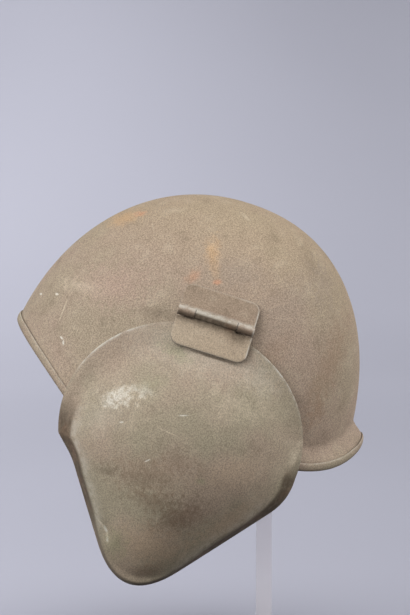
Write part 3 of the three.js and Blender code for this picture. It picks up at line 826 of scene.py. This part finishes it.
def build_hinge_leaf(level, side, material):
    upper = level == "upper"
    profile_at = upper_leaf_profile if upper else lower_leaf_profile
    height = UPPER_LEAF_HEIGHT if upper else LOWER_LEAF_HEIGHT
    points, faces = leaf_mesh(profile_at, height, rolled_middle=not upper)
    x, y, z = points.T
    end_gap = HINGE_LENGTH / 2 - np.abs(y)
    tip_gap = np.array([corner_height(place, height) for place in y]) - np.abs(z)
    split_gap = np.abs(y) - knuckle_split(not upper)
    off_barrel = np.hypot(x, z) - KNUCKLE_RADIUS
    # Rubbed paint and a painted highlight along the top of each barrel, with painted glints beside the
    # knuckle gaps.
    barrel_top = (1 - smoothstep(off_barrel, *BARREL_TOP_REACH)) * smoothstep(z, *BARREL_TOP)
    # Rubbed paint and painted glints on the leaf ends and on the upper leaf's top edge, stronger toward the
    # rear.
    end_share = np.maximum(barrel_top, lerp(*END_WEAR_AND_GLINT, smoothstep(y, *END_WEAR_AND_GLINT_OVER)))
    tip_share = lerp(*UPPER_TIP_WEAR_AND_SHEEN, smoothstep(y, *UPPER_TIP_WEAR_AND_SHEEN_OVER)) if upper else LOWER_TIP_WEAR
    end_wear_and_glint = end_share * fades(end_gap, END_WEAR_AND_GLINT_SPREAD)
    tip_wear_and_sheen = tip_share * fades(tip_gap, TIP_WEAR_AND_SHEEN_SPREAD)
    barrel_wear_and_sheen = barrel_top * np.maximum(BARREL_WEAR_AND_SHEEN, fades(split_gap, SPLIT_GLINT_SPREAD))
    wear_and_highlight = np.maximum.reduce([end_wear_and_glint, tip_wear_and_sheen, barrel_wear_and_sheen])
    # painted shade on the lower side of each barrel
    on_barrel = 1 - smoothstep(off_barrel, *BARREL_SHADE_REACH)
    dirt_and_shade = on_barrel * BARREL_SHADE * smoothstep(-z, *BARREL_SHADE_OVER)
    if not upper:
        # painted shadow on the lower leaf under the barrel, broader under its rear
        below = np.maximum(-z - KNUCKLE_RADIUS, 0)
        close = np.where(z < 0, fades(below, UNDER_BARREL_SPREAD), MIDDLE_KNUCKLE_DARKENING)
        broad_shadow = np.where(z < 0, BROAD_SHADOW * fades(below, BROAD_SHADOW_HIGH) * fades(y - BROAD_SHADOW_Y, BROAD_SHADOW_WIDE), 0)
        # painted shade on the lower leaf's downward-facing bottom edge
        tip = fades(tip_gap, TIP_SHADE_SPREAD)
        dirt_and_shade = np.minimum(np.maximum.reduce([dirt_and_shade, close, broad_shadow, tip]), 1)
    node = f"hinge_{level}_leaf_{side}"
    body = "helmet" if upper else f"ear_{side}"
    set_points = placed(points, hinge_slope if upper else seat_slope)
    attributes = {"wear_and_highlight": wear_and_highlight, "dirt_and_shade": dirt_and_shade}
    sharpen(make_painted(node, set_points, faces, material, body, attributes, mirror=side == "right"))


# Stand


def crown_height(x, y):
    """Height of the shell's outer face over a place under its crown."""
    angle = np.arctan2(y, x)
    power = fullness(angle)
    return DOME_BASE + DOME_HEIGHT * (1 - (np.hypot(x, y) / plan_reach(angle)) ** power) ** (1 / power)


def under_crown(x, y, depth):
    """Points a given depth under the shell's outer face."""
    slope_x = (crown_height(x + CROWN_STEP, y) - crown_height(x - CROWN_STEP, y)) / (2 * CROWN_STEP)
    slope_y = (crown_height(x, y + CROWN_STEP) - crown_height(x, y - CROWN_STEP)) / (2 * CROWN_STEP)
    normal = unit(np.stack([-slope_x, -slope_y, np.ones_like(slope_x)], axis=-1))
    return np.stack([x, y, crown_height(x, y)], axis=-1) - depth * normal


def build_saddle(material):
    along, across = SADDLE_STEPS
    x, y = np.meshgrid(
        np.linspace(-SADDLE_HALF_WIDTH, SADDLE_HALF_WIDTH, across + 1),
        np.linspace(SADDLE_FRONT, SADDLE_REAR, along + 1),
    )
    top = under_crown(x, y, STEEL + CURVED_FIT_GAP).reshape(-1, 3)
    bottom = under_crown(x, y, STEEL + CURVED_FIT_GAP + SADDLE_SHEET).reshape(-1, 3)
    columns = across + 1
    below = len(top)
    faces = []
    for row in range(along):
        for column in range(across):
            a = row * columns + column
            b, c, d = a + 1, a + columns + 1, a + columns
            faces.append((a, b, c, d))
            faces.append((below + d, below + c, below + b, below + a))
    rim = list(range(columns))
    rim += [row * columns + across for row in range(1, along + 1)]
    rim += [along * columns + column for column in range(across - 1, -1, -1)]
    rim += [row * columns for row in range(along - 1, 0, -1)]
    for here, ahead in zip(rim, rim[1:] + rim[:1]):
        faces.append((ahead, here, below + here, below + ahead))
    points = np.concatenate([top, bottom])
    piece = make_piece("acrylic_saddle", "stand_saddle", points, faces, material, "helmet")
    sharpen(piece)
    return piece


# Materials

# Numbers of the mix node's sockets, which share their names
FLOAT_A = 2
FLOAT_B = 3
COLOUR_A = 6
COLOUR_B = 7
COLOUR_RESULT = 2


class Shader:
    """A node material under construction."""

    def __init__(self, name):
        self.material = bpy.data.materials.new(name)
        self.material.use_nodes = True
        self.tree = self.material.node_tree
        self.surface = next(node for node in self.tree.nodes if node.type == "BSDF_PRINCIPLED")

    def node(self, kind, inputs=None, **settings):
        node = self.tree.nodes.new(kind)
        for key, value in settings.items():
            setattr(node, key, value)
        for key, value in (inputs or {}).items():
            self.feed(node.inputs[key], value)
        return node

    def feed(self, socket, value):
        if isinstance(value, bpy.types.NodeSocket):
            self.tree.links.new(value, socket)
        else:
            socket.default_value = value

    def math(self, operation, a, b=0.0, c=0.0):
        return self.node("ShaderNodeMath", {0: a, 1: b, 2: c}, operation=operation).outputs[0]

    def mix(self, share, a, b, blend="MIX"):
        inputs = {"Factor": share, COLOUR_A: a, COLOUR_B: b}
        return self.node("ShaderNodeMix", inputs, data_type="RGBA", blend_type=blend).outputs[COLOUR_RESULT]

    def blend(self, share, a, b):
        inputs = {"Factor": share, FLOAT_A: a, FLOAT_B: b}
        return self.node("ShaderNodeMix", inputs, data_type="FLOAT").outputs[0]

    def span(self, value, limits, shares=(0.0, 1.0)):
        """Goes smoothly from the first to the second share as the value goes between the limits."""
        low, high = limits
        start, end = shares
        inputs = {"Value": value, "From Min": low, "From Max": high, "To Min": start, "To Max": end}
        return self.node("ShaderNodeMapRange", inputs, interpolation_type="SMOOTHSTEP").outputs[0]

    def noise(self, place, scale, detail, roughness=0.5):
        inputs = {"Vector": place, "Scale": scale, "Detail": detail, "Roughness": roughness}
        return self.node("ShaderNodeTexNoise", inputs).outputs[0]

    def helmet_place(self):
        """Millimetres in the helmet's own frame, so marks stay put when a piece moves."""
        place = self.node("ShaderNodeTexCoord").outputs["Object"]
        return self.within(place, (0, 0, BRIM_LEVEL / PER_METRE), HELMET_TILT, [1 / PER_METRE] * 3)

    def within(self, place, origin, turn, scale):
        """The place as seen from a frame with its own origin, turn about x and scale."""
        inputs = {"Vector": place, "Location": origin, "Rotation": (turn, 0, 0), "Scale": scale}
        return self.node("ShaderNodeMapping", inputs, vector_type="TEXTURE").outputs[0]

    def attribute(self, name):
        return self.node("ShaderNodeAttribute", attribute_name=name).outputs["Fac"]

    def set_surface(self, inputs):
        for key, value in inputs.items():
            self.feed(self.surface.inputs[key], value)


def rgb(red, green, blue):
    return (red, green, blue, 1.0)


BROWN = rgb(0.278, 0.212, 0.163)
OLIVE = rgb(0.263, 0.213, 0.155)
GOLDEN = rgb(0.285, 0.222, 0.149)
PINK_TAN = rgb(0.296, 0.213, 0.168)
RED_BROWN = rgb(0.235, 0.162, 0.113)
GREY_BROWN = rgb(0.235, 0.188, 0.15)
PLATE_OLIVE = rgb(0.262, 0.226, 0.163)
PLATE_BROWN = rgb(0.29, 0.227, 0.173)
PLATE_DUST = rgb(0.35, 0.312, 0.25)
LOW_BROWN = rgb(0.36, 0.272, 0.192)
UPPER_LEAF = rgb(0.255, 0.194, 0.143)
UPPER_LEAF_DARK = rgb(0.228, 0.168, 0.125)
LOWER_LEAF = rgb(0.36, 0.296, 0.22)
LOWER_LEAF_DARK = rgb(0.33, 0.262, 0.19)
DARK = rgb(0.075, 0.055, 0.038)
DIRT_AND_SHADE_BROWN = rgb(0.11, 0.068, 0.043)
PALE = rgb(0.42, 0.355, 0.265)
BARE = rgb(0.5, 0.47, 0.41)
RUST = rgb(0.40, 0.255, 0.135)
RED_RUST = rgb(0.44, 0.215, 0.125)
GREEN = rgb(0.232, 0.222, 0.14)
DULL_STEEL = rgb(0.16, 0.13, 0.1)
BRIGHT_STEEL = rgb(0.42, 0.39, 0.34)
HAZY_ACRYLIC = rgb(0.98, 0.945, 0.935)
CLEAR_ACRYLIC = rgb(0.995, 0.965, 0.955)
PAPER_DARK = rgb(0.62, 0.625, 0.735)
PAPER_LIGHT = rgb(0.66, 0.665, 0.78)
BLACK = rgb(0.0, 0.0, 0.0)
SKY = rgb(0.94, 0.95, 1.0)

# Marks on the paint, in the helmet's own frame, as rows of MARK_COLUMNS. A row may leave out its usual end.
SHELL_MARKS = (
    (-85, 106, 20, 7, 36, 0.6, RUST, 0.8),
    (-75, 113, 8, 2.5, 30, 0.5, RED_RUST, 0.8, 0.8, 0.9),
    (-15, 103, 17, 8, 105, 0.65, RUST, 0.8, 0.9),
    (-9, 92, 10, 5, 112, 0.45, RUST, 0.8, 0.9),
    (-6, 85, 5, 3, 20, 0.85, RED_RUST, 0.8, 0.6, 0.9),
    (-24, 84, 9, 6, 60, 0.4, RED_RUST, 0.8, 0.9),
    (-97, 51, 26, 8, 12, 0.6, PALE, 0.75, 1.3),
    (-76, 60, 44, 26, 20, 0.75, PINK_TAN, 0.8),
    (-128.4, 32.8, 1.4, 1, 30, 0.9, BARE, 0.6, 0.5, 0.6),
    (-116, 38.3, 1.6, 1.1, 10, 0.9, BARE, 0.6, 0.5, 0.6),
    (-107.3, 30.5, 12.5, 0.7, 86, 0.85, PALE, 0.7, 0.15, 0.8),
    (-102, 11, 2, 0.9, -22, 0.95, BARE, 0.5, 0.3, 0.6),
    (-99.8, 8.4, 2.6, 0.9, -74, 0.95, BARE, 0.5, 0.3, 0.6),
    (-63, 107.6, 4.2, 0.5, -60, 0.5, PALE, 0.7, 0.3, 0.7),
    (0, 135, 7, 1.6, -25, 0.5, PALE, 0.75, 0.8, 0.9),
    (50, 84, 46, 26, 60, 0.4, GREY_BROWN, 0.8, 1),
    (4, 94, 36, 16, 10, 0.5, GREY_BROWN, 0.8, 1),
    (-40, 52, 20, 8, 10, 0.32, DARK, 0.85),
    (58, 116, 26, 9, -45, 0.2, DARK, 0.85),
    (104, -6, 16, 8, 70, 0.22, DARK, 0.85),
    (70, 104, 30, 14, -60, 0.4, GREY_BROWN, 0.8, 1.2),
    (92, 50, 60, 16, 84, 0.6, RED_BROWN, 0.8),
    (46, 44, 30, 12, 60, 0.45, RED_BROWN, 0.8, 1),
    (92, 14, 20, 10, 80, 0.6, RED_BROWN, 0.85, 1),
    (-70, 60, 22, 7, 20, 0.4, PALE, 0.75, 1.2, 1, -1),
    (30, 95, 18, 6, -40, 0.35, RUST, 0.8, 1, 1, -1),
    (-96, 25, 12, 0.5, 70, 0.6, PALE, 0.6, 0.25, 0.7, -1),
)
PLATE_MARKS = (
    (-8, 34, 80, 24, 0, 0.45, PLATE_DUST, 0.7, 0.7),
    (-56, -26, 34, 20, 60, 0.4, PLATE_DUST, 0.7),
    (44, 30, 26, 16, -30, 0.4, PLATE_DUST, 0.7),
    (44, -38, 34, 18, 25, 0.4, LOW_BROWN, 0.75),
    (4, -108, 44, 26, 10, 0.8, LOW_BROWN, 0.8),
    (-14, -58, 40, 22, 15, 0.45, RED_BROWN, 0.85, 1),
    (-14, -60, 28, 12, 15, 0.27, DARK, 0.85, 1.2),
    (-43, -8, 24, 12, 24, 0.5, PALE, 0.55, 1.4),
    (-47, -10, 13, 8, 24, 0.55, BARE, 0.42, 1.7, 0.9),
    (-33, -2, 10, 6, 30, 0.4, BARE, 0.45, 1.6, 0.9),
    (-54, -16, 8, 6, 20, 0.5, BARE, 0.45, 1.6, 0.9),
    (14.5, 13.7, 10, 5, 70, 0.4, PALE, 0.65, 1.4),
    (34, 4, 22, 14, 20, 0.3, PALE, 0.7, 1.4),
    (-8.5, -23.4, 9.5, 0.6, -6, 0.75, PALE, 0.65, 0.25, 0.8),
    (-16.4, -47, 3, 0.7, 42, 0.95, BARE, 0.45, 0.2, 0.7),
    (-1.8, -9.2, 4.4, 0.6, 18, 0.9, BARE, 0.5, 0.3, 0.7),
    (-42, -27.5, 2.2, 0.8, 20, 0.8, BARE, 0.5, 0.4, 0.7),
    (-34, -104.2, 6.5, 1.2, -34, 1, PALE, 0.6, 0.3, 0.8),
    (-29.6, -107.2, 4.5, 1.5, -48, 1, BARE, 0.6, 0.3, 0.8),
    (-26.8, -112.5, 6.4, 1.7, -68, 1, PALE, 0.6, 0.3, 0.8),
    (-26.4, -114, 3.4, 1.3, -74, 1, BARE, 0.6, 0.3, 0.8),
    (53, -77, 40, 13, 50, 0.9, LOW_BROWN, 0.8),
    (9, -127, 17, 8, 25, 0.42, DIRT_AND_SHADE_BROWN, 0.85),
    (-27, -114, 10, 5, -62, 0.28, PALE, 0.7),
    (18, -80, 28, 17, 30, 0.62, DIRT_AND_SHADE_BROWN, 0.85),
    (-4, -74, 24, 12, 10, 0.45, DIRT_AND_SHADE_BROWN, 0.85, 0.9),
    (5, -40, 22, 12, 0, 0.3, DIRT_AND_SHADE_BROWN, 0.85, 0.9),
    # painted shade on the front lap, which faces forward and down
    (-76, -8, 30, 10, 70, 0.22, DARK, 0.8),
    (85, -17, 13, 6, 78, 0.95, PALE, 0.65),
    (-41.6, -64, 14, 8, 20, 0.3, DARK, 0.85, 1.2),
    (22, -66, 18, 7, 20, 0.2, DARK, 0.85, 1.2),
    # painted shadow along the lower hinge leaf's bottom edge
    (6, 34.4, 24, 1.5, 0, 0.8, DARK, 0.85, 0.3, 0.9),
    (-20, 30, 18, 7, -10, 0.55, GREEN, 0.75, 1.1),
    (-30, 4, 14, 8, 30, 0.4, GREEN, 0.7, 1.1),
    (-20, -114, 14, 16, 30, 0.6, GREEN, 0.75, 1.2),
    (25, -50, 6, 3.5, 0, 0.5, GREEN, 0.75, 1),
    (-40, -10, 20, 9, 20, 0.5, PALE, 0.55, 1.4, 1, -1),
    (20, -70, 22, 12, 25, 0.3, DARK, 0.85, 1.2, 1, -1),
    (5, -20, 9, 0.5, -14, 0.6, PALE, 0.6, 0.3, 0.7, -1),
)

# Noise in the paint, as scale, detail and roughness
BROAD_NOISE = (0.016, 3.0)
PATCH_NOISE = (0.07, 4.0, 0.6)
RAGGED_NOISE = (0.22, 5.0, 0.65)
GRAIN_NOISE = (1.0, 4.0, 0.75)
PIT_SCALE = 0.75

# Limits in that noise, and the shares, shades or roughness between which the paint changes there
MOTTLE_OVER = (0.36, 0.64)
CROWN_LEVELS = (55.0, 130.0)
CROWN_SHARE = (0.0, 0.6)
PALE_OVER = (0.5, 0.78)
DARK_OVER = (0.46, 0.2)
FAINT_SHARE = (0.0, 0.3)
ROUGH_OVER = (0.3, 0.75)
PAINT_ROUGH = (0.88, 0.72)
GRAIN_OVER = (0.3, 0.7)
GRAIN_SHADE = (0.5, 1.5)
PITS_OVER = (0.3, 0.05)
DIRT_AND_SHADE_OVER = (0.3, 0.6)
DIRT_AND_SHADE_SHARE = (0.65, 0.95)
BROWN_DIRT_AND_SHADE_OVER = (0.45, 0.65)
WEAR_AND_HIGHLIGHT_OVER = (0.36, 0.6)
WEAR_AND_HIGHLIGHT_SHARE = (0.25, 1.0)
SIDES_OVER = {1: (-4.0, 4.0), -1: (4.0, -4.0)}
BARE_SHARE = 0.85
BARE_ROUGH = 0.42
BARE_METALLIC = 0.15
GRAIN_HEIGHT = 0.6
PATCH_HEIGHT = 0.8
BUMP = {"Strength": 0.45, "Distance": 0.0004}
PAINT_SPECULAR = 0.35


def mark_mask(shader, mark, place, ragged):
    """Where a mark shows: in an oval with a soft, ragged edge."""
    size = (1, mark.half_long, mark.half_wide)
    spot = shader.within(place, (0, mark.y, mark.z), math.radians(mark.turn), size)
    flat = shader.node("ShaderNodeVectorMath", {0: spot, 1: (0, 1, 1)}, operation="MULTIPLY").outputs[0]
    away = shader.node("ShaderNodeVectorMath", {0: flat}, operation="LENGTH").outputs["Value"]
    lift = shader.math("MULTIPLY_ADD", ragged, -2 * mark.ragged, mark.ragged)
    return shader.span(shader.math("ADD", away, lift), (1.0, 1.0 - mark.soft), (0.0, mark.strength))


def paint(name, first, second, speckle_share, marks=()):
    """Worn sand-textured paint, mottled between two colours."""
    shader = Shader(name)
    place = shader.helmet_place()
    side, _, level = shader.node("ShaderNodeSeparateXYZ", {0: place}).outputs
    sides = {number: shader.span(side, limits) for number, limits in SIDES_OVER.items()}
    broad = shader.noise(place, *BROAD_NOISE)
    patch = shader.noise(place, *PATCH_NOISE)
    ragged = shader.noise(place, *RAGGED_NOISE)
    grain = shader.noise(place, *GRAIN_NOISE)
    pits = shader.node("ShaderNodeTexVoronoi", {"Vector": place, "Scale": PIT_SCALE}, feature="F1")
    colour = shader.mix(shader.span(broad, MOTTLE_OVER), first, second)
    colour = shader.mix(shader.span(level, CROWN_LEVELS, CROWN_SHARE), colour, GOLDEN)
    colour = shader.mix(shader.span(patch, PALE_OVER, FAINT_SHARE), colour, PALE)
    colour = shader.mix(shader.span(patch, DARK_OVER, FAINT_SHARE), colour, DARK)
    rough = shader.span(patch, ROUGH_OVER, PAINT_ROUGH)
    for mark in (Mark(*row) for row in marks):
        mask = shader.math("MULTIPLY", mark_mask(shader, mark, place, ragged), sides[mark.side])
        colour = shader.mix(mask, colour, mark.colour)
        rough = shader.blend(mask, rough, mark.rough)
    shade = shader.span(grain, GRAIN_OVER, GRAIN_SHADE)
    speckle = shader.node("ShaderNodeCombineColor", {0: shade, 1: shade, 2: shade}).outputs[0]
    colour = shader.mix(speckle_share, colour, speckle, "MULTIPLY")
    colour = shader.mix(shader.span(pits.outputs["Distance"], PITS_OVER, FAINT_SHARE), colour, DARK)
    # Paint darkened by the point attribute read here: painted shade and shadow on and under the hinge
    # barrels and the lower leaf's edge, and darker paint in the seam above the rim band, along its fold and
    # on the plates' turned-in borders.
    dirt_and_shade_share = shader.math("MULTIPLY", shader.attribute("dirt_and_shade"), shader.span(ragged, DIRT_AND_SHADE_OVER, DIRT_AND_SHADE_SHARE))
    colour = shader.mix(dirt_and_shade_share, colour, shader.mix(shader.span(patch, BROWN_DIRT_AND_SHADE_OVER), DARK, DIRT_AND_SHADE_BROWN))
    # Paint lighter and barer by the point attribute read here: rubbed edges and the band's lip, and painted
    # highlights and glints on the hinge barrels, leaf ends and plate creases.
    wear_and_highlight_share = shader.math("MULTIPLY", shader.attribute("wear_and_highlight"), shader.span(ragged, WEAR_AND_HIGHLIGHT_OVER, WEAR_AND_HIGHLIGHT_SHARE))
    colour = shader.mix(shader.math("MULTIPLY", wear_and_highlight_share, BARE_SHARE), colour, BARE)
    patch_height = shader.math("MULTIPLY", patch, PATCH_HEIGHT)
    height = shader.math("MULTIPLY_ADD", grain, GRAIN_HEIGHT, patch_height)
    shader.set_surface(
        {
            "Base Color": colour,
            "Roughness": shader.blend(wear_and_highlight_share, rough, BARE_ROUGH),
            "Normal": shader.node("ShaderNodeBump", {**BUMP, "Height": height}).outputs[0],
            "Metallic": shader.math("MULTIPLY", wear_and_highlight_share, BARE_METALLIC),
            "Specular IOR Level": PAINT_SPECULAR,
        }
    )
    return shader.material


def worn_steel(name):
    shader = Shader(name)
    patch = shader.noise(shader.helmet_place(), 0.5, 4.0, 0.6)
    shader.set_surface(
        {
            "Base Color": shader.mix(shader.span(patch, (0.35, 0.7)), DULL_STEEL, BRIGHT_STEEL),
            "Roughness": shader.span(patch, (0.3, 0.7), (0.65, 0.35)),
            "Metallic": 0.8,
        }
    )
    return shader.material


def clear_acrylic(name):
    shader = Shader(name)
    place = shader.helmet_place()
    haze = shader.noise(place, 0.05, 3.0)
    scuff = shader.noise(place, 0.9, 4.0, 0.7)
    shader.set_surface(
        {
            "Base Color": shader.mix(shader.span(haze, (0.3, 0.7)), HAZY_ACRYLIC, CLEAR_ACRYLIC),
            "Roughness": shader.span(scuff, (0.5, 0.8), (0.02, 0.12)),
            "Transmission Weight": 0.88,
            "Specular IOR Level": 0.15,
            "IOR": 1.49,
        }
    )
    return shader.material


PAPER_FADE_OVER = (-0.6, 0.6)  # painted shade: the paper is painted a little darker toward the helmet's rear
PAPER_FADE = (1.0, 0.73)


def stage_paper(name):
    shader = Shader(name)
    place = shader.node("ShaderNodeTexCoord").outputs["Object"]
    pale = shader.mix(shader.span(shader.noise(place, 0.7, 2.0), (0.3, 0.7)), PAPER_DARK, PAPER_LIGHT)
    along = shader.node("ShaderNodeSeparateXYZ", {0: place}).outputs[1]
    fade = shader.span(along, PAPER_FADE_OVER, PAPER_FADE)
    shader.set_surface(
        {"Base Color": shader.mix(fade, BLACK, pale), "Roughness": 0.9, "Specular IOR Level": 0.1}
    )
    return shader.material


# Pieces

STAND_EDGE_ROUND = 0.0005


def dress_node(name, material):
    """Gives a CAD node a material of the scene's."""
    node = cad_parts[name]
    node.data.materials.clear()
    node.data.materials.append(material)
    return node


shell_paint = paint("shell_paint", BROWN, OLIVE, 0.75, SHELL_MARKS)
plate_paint = paint("plate_paint", PLATE_OLIVE, PLATE_BROWN, 0.65, PLATE_MARKS)
band_paint = paint("band_paint", BROWN, PLATE_OLIVE, 0.75)
leaf_paints = {
    "upper": paint("upper_leaf_paint", UPPER_LEAF, UPPER_LEAF_DARK, 0.6),
    "lower": paint("lower_leaf_paint", LOWER_LEAF, LOWER_LEAF_DARK, 0.6),
}
pin_steel = worn_steel("pin_steel")
acrylic = clear_acrylic("acrylic")

build_shell(shell_paint)
build_rim_band(band_paint)
for side_name in ("left", "right"):
    build_ear_plate(side_name, plate_paint)
    for level, leaf_paint in leaf_paints.items():
        build_hinge_leaf(level, side_name, leaf_paint)
    dress_node(f"hinge_pin_{side_name}", pin_steel)
build_saddle(acrylic).visible_shadow = False
for node_name in ("stand_base", "stand_post"):
    stand_node = dress_node(node_name, acrylic)
    stand_node.visible_shadow = False
    soften = stand_node.modifiers.new("softened_edges", "BEVEL")
    soften.width = STAND_EDGE_ROUND
    soften.segments = 2
    soften.limit_method = "ANGLE"

# Stage, in metres

FLOOR_RINGS = (0.3, 0.8, 1.4)
FLOOR_RADIUS = 2.0
WALL_RADIUS = 6.0
WALL_HEIGHT = 5.0
SWEEP_STEPS = 32
STAGE_TURNS = 96


def build_stage():
    """A pale floor that sweeps up into a round backdrop."""
    sweep = WALL_RADIUS - FLOOR_RADIUS
    profile = [(radius, 0.0) for radius in FLOOR_RINGS]
    for turn in np.linspace(0, math.pi / 2, SWEEP_STEPS + 1):
        profile.append((FLOOR_RADIUS + sweep * math.sin(turn), sweep * (1 - math.cos(turn))))
    profile.append((WALL_RADIUS, WALL_HEIGHT))
    points = [(0, 0, 0)]
    for radius, height in profile:
        for angle in round_angles(STAGE_TURNS):
            points.append((radius * math.cos(angle), radius * math.sin(angle), height))
    mesh = bpy.data.meshes.new("floor")
    mesh.from_pydata(points, [], dish_faces(len(profile), STAGE_TURNS, 1, 0, True))
    mesh.polygons.foreach_set("use_smooth", [True] * len(mesh.polygons))
    mesh.materials.append(stage_paper("stage_paper"))
    floor = bpy.data.objects.new("floor", mesh)
    bpy.context.collection.objects.link(floor)
    floor.visible_diffuse = False
    return floor


floor = build_stage()

# Light


def aimed(thing, place, target):
    """Puts a camera or lamp at a place, turned to the target."""
    away = np.array(place, float) - np.array(target, float)
    thing.location = place
    turn = math.atan2(away[0], -away[1])
    lift = math.atan2(math.hypot(away[0], away[1]), away[2])
    thing.rotation_euler = (lift, 0, turn)


def add_softbox(name, place, target, size, power):
    lamp = bpy.data.lights.new(name, "AREA")
    lamp.shape = "RECTANGLE"
    lamp.size, lamp.size_y = size
    lamp.energy = power
    box = bpy.data.objects.new(name, lamp)
    box.visible_camera = False
    box.visible_transmission = False
    box.visible_glossy = name not in UNREFLECTED
    bpy.context.collection.objects.link(box)
    aimed(box, place, target)
    return box


def light_only(boxes, name, things):
    """Makes these softboxes light these things and nothing else."""
    group = bpy.data.collections.new(name)
    for thing in things:
        group.objects.link(thing)
    for box in boxes:
        box.light_linking.receiver_collection = group


SOFTBOXES = (
    Softbox("key", (0.85, -0.85, 1.75), 25.5),
    Softbox("low_front", (1.6, -0.9, 0.75), 23.5),
    Softbox("front", (0.6, -1.5, 1.2), 10),
    Softbox("rear", (0.0, 1.8, 1.0), 46),
    Softbox("high_rear", (0.85, 0.85, 1.75), 7),
    Softbox("far_side", (-1.6, -0.5, 1.1), 22),
)
SOFTBOX_AIM = (0, 0, 0.22)
SOFTBOX_SIZE = (1.2, 1.2)
UNREFLECTED = ("key", "low_front", "rear", "far_side")  # these would burn out the stand's glossy foot
STAGE_LAMP_HEIGHT = 4.5
STAGE_LAMP_SIZE = (6.0, 6.0)
STAGE_LAMP_POWER = 262
SHADOWLESS_SHARE = 0.5  # of the overhead light, to keep the shadow on the floor faint
BACKDROP_LAMPS = 8
BACKDROP_LAMP_RADIUS = 1.6
BACKDROP_LAMP_HEIGHT = 2.4
BACKDROP_LAMP_SIZE = (1.4, 0.5)
BACKDROP_AIM_RADIUS = 4.2
BACKDROP_AIM_HEIGHT = 2.0
BACKDROP_LAMP_POWER = 17
SKY_STRENGTH = 0.03

helmet_lamps = [add_softbox(box.name, box.place, SOFTBOX_AIM, SOFTBOX_SIZE, box.power) for box in SOFTBOXES]
stage_lamps = [
    add_softbox(name, (0, 0, STAGE_LAMP_HEIGHT), (0, 0, 0), STAGE_LAMP_SIZE, STAGE_LAMP_POWER * share)
    for name, share in (("overhead", 1 - SHADOWLESS_SHARE), ("overhead_fill", SHADOWLESS_SHARE))
]
for number, outward in enumerate(round_angles(BACKDROP_LAMPS)):
    direction = np.array([math.cos(outward), math.sin(outward)])
    lamp_place = (*(BACKDROP_LAMP_RADIUS * direction), BACKDROP_LAMP_HEIGHT)
    lamp_aim = (*(BACKDROP_AIM_RADIUS * direction), BACKDROP_AIM_HEIGHT)
    stage_lamps.append(
        add_softbox(f"backdrop_{number}", lamp_place, lamp_aim, BACKDROP_LAMP_SIZE, BACKDROP_LAMP_POWER)
    )
pieces = [thing for thing in bpy.context.scene.objects if thing.type == "MESH" and thing is not floor]
light_only(helmet_lamps, "lit_pieces", pieces)
light_only(stage_lamps, "lit_stage", [floor])
stage_lamps[1].light_linking.blocker_collection = bpy.data.collections["lit_stage"]

world = bpy.data.worlds.new("studio")
bpy.context.scene.world = world
world.use_nodes = True
sky = next(node for node in world.node_tree.nodes if node.type == "BACKGROUND")
sky.inputs["Color"].default_value = SKY
sky.inputs["Strength"].default_value = SKY_STRENGTH

# Camera: level with the photograph's, to the left of the helmet and a little above it

CAMERA_PLACE = (1.4943, 0.01083, 0.4074)
CAMERA_TARGET = (0.0, 0.01083, 0.27666)
CAMERA_LENS = 113.93
SENSOR_WIDTH = 36
CAMERA_FAR = 20

lens = bpy.data.cameras.new("camera")
lens.lens = CAMERA_LENS
lens.sensor_width = SENSOR_WIDTH
lens.clip_end = CAMERA_FAR
camera = bpy.data.objects.new("camera", lens)
bpy.context.collection.objects.link(camera)
aimed(camera, CAMERA_PLACE, CAMERA_TARGET)
bpy.context.scene.camera = camera
bpy.context.scene.view_settings.view_transform = "Standard"
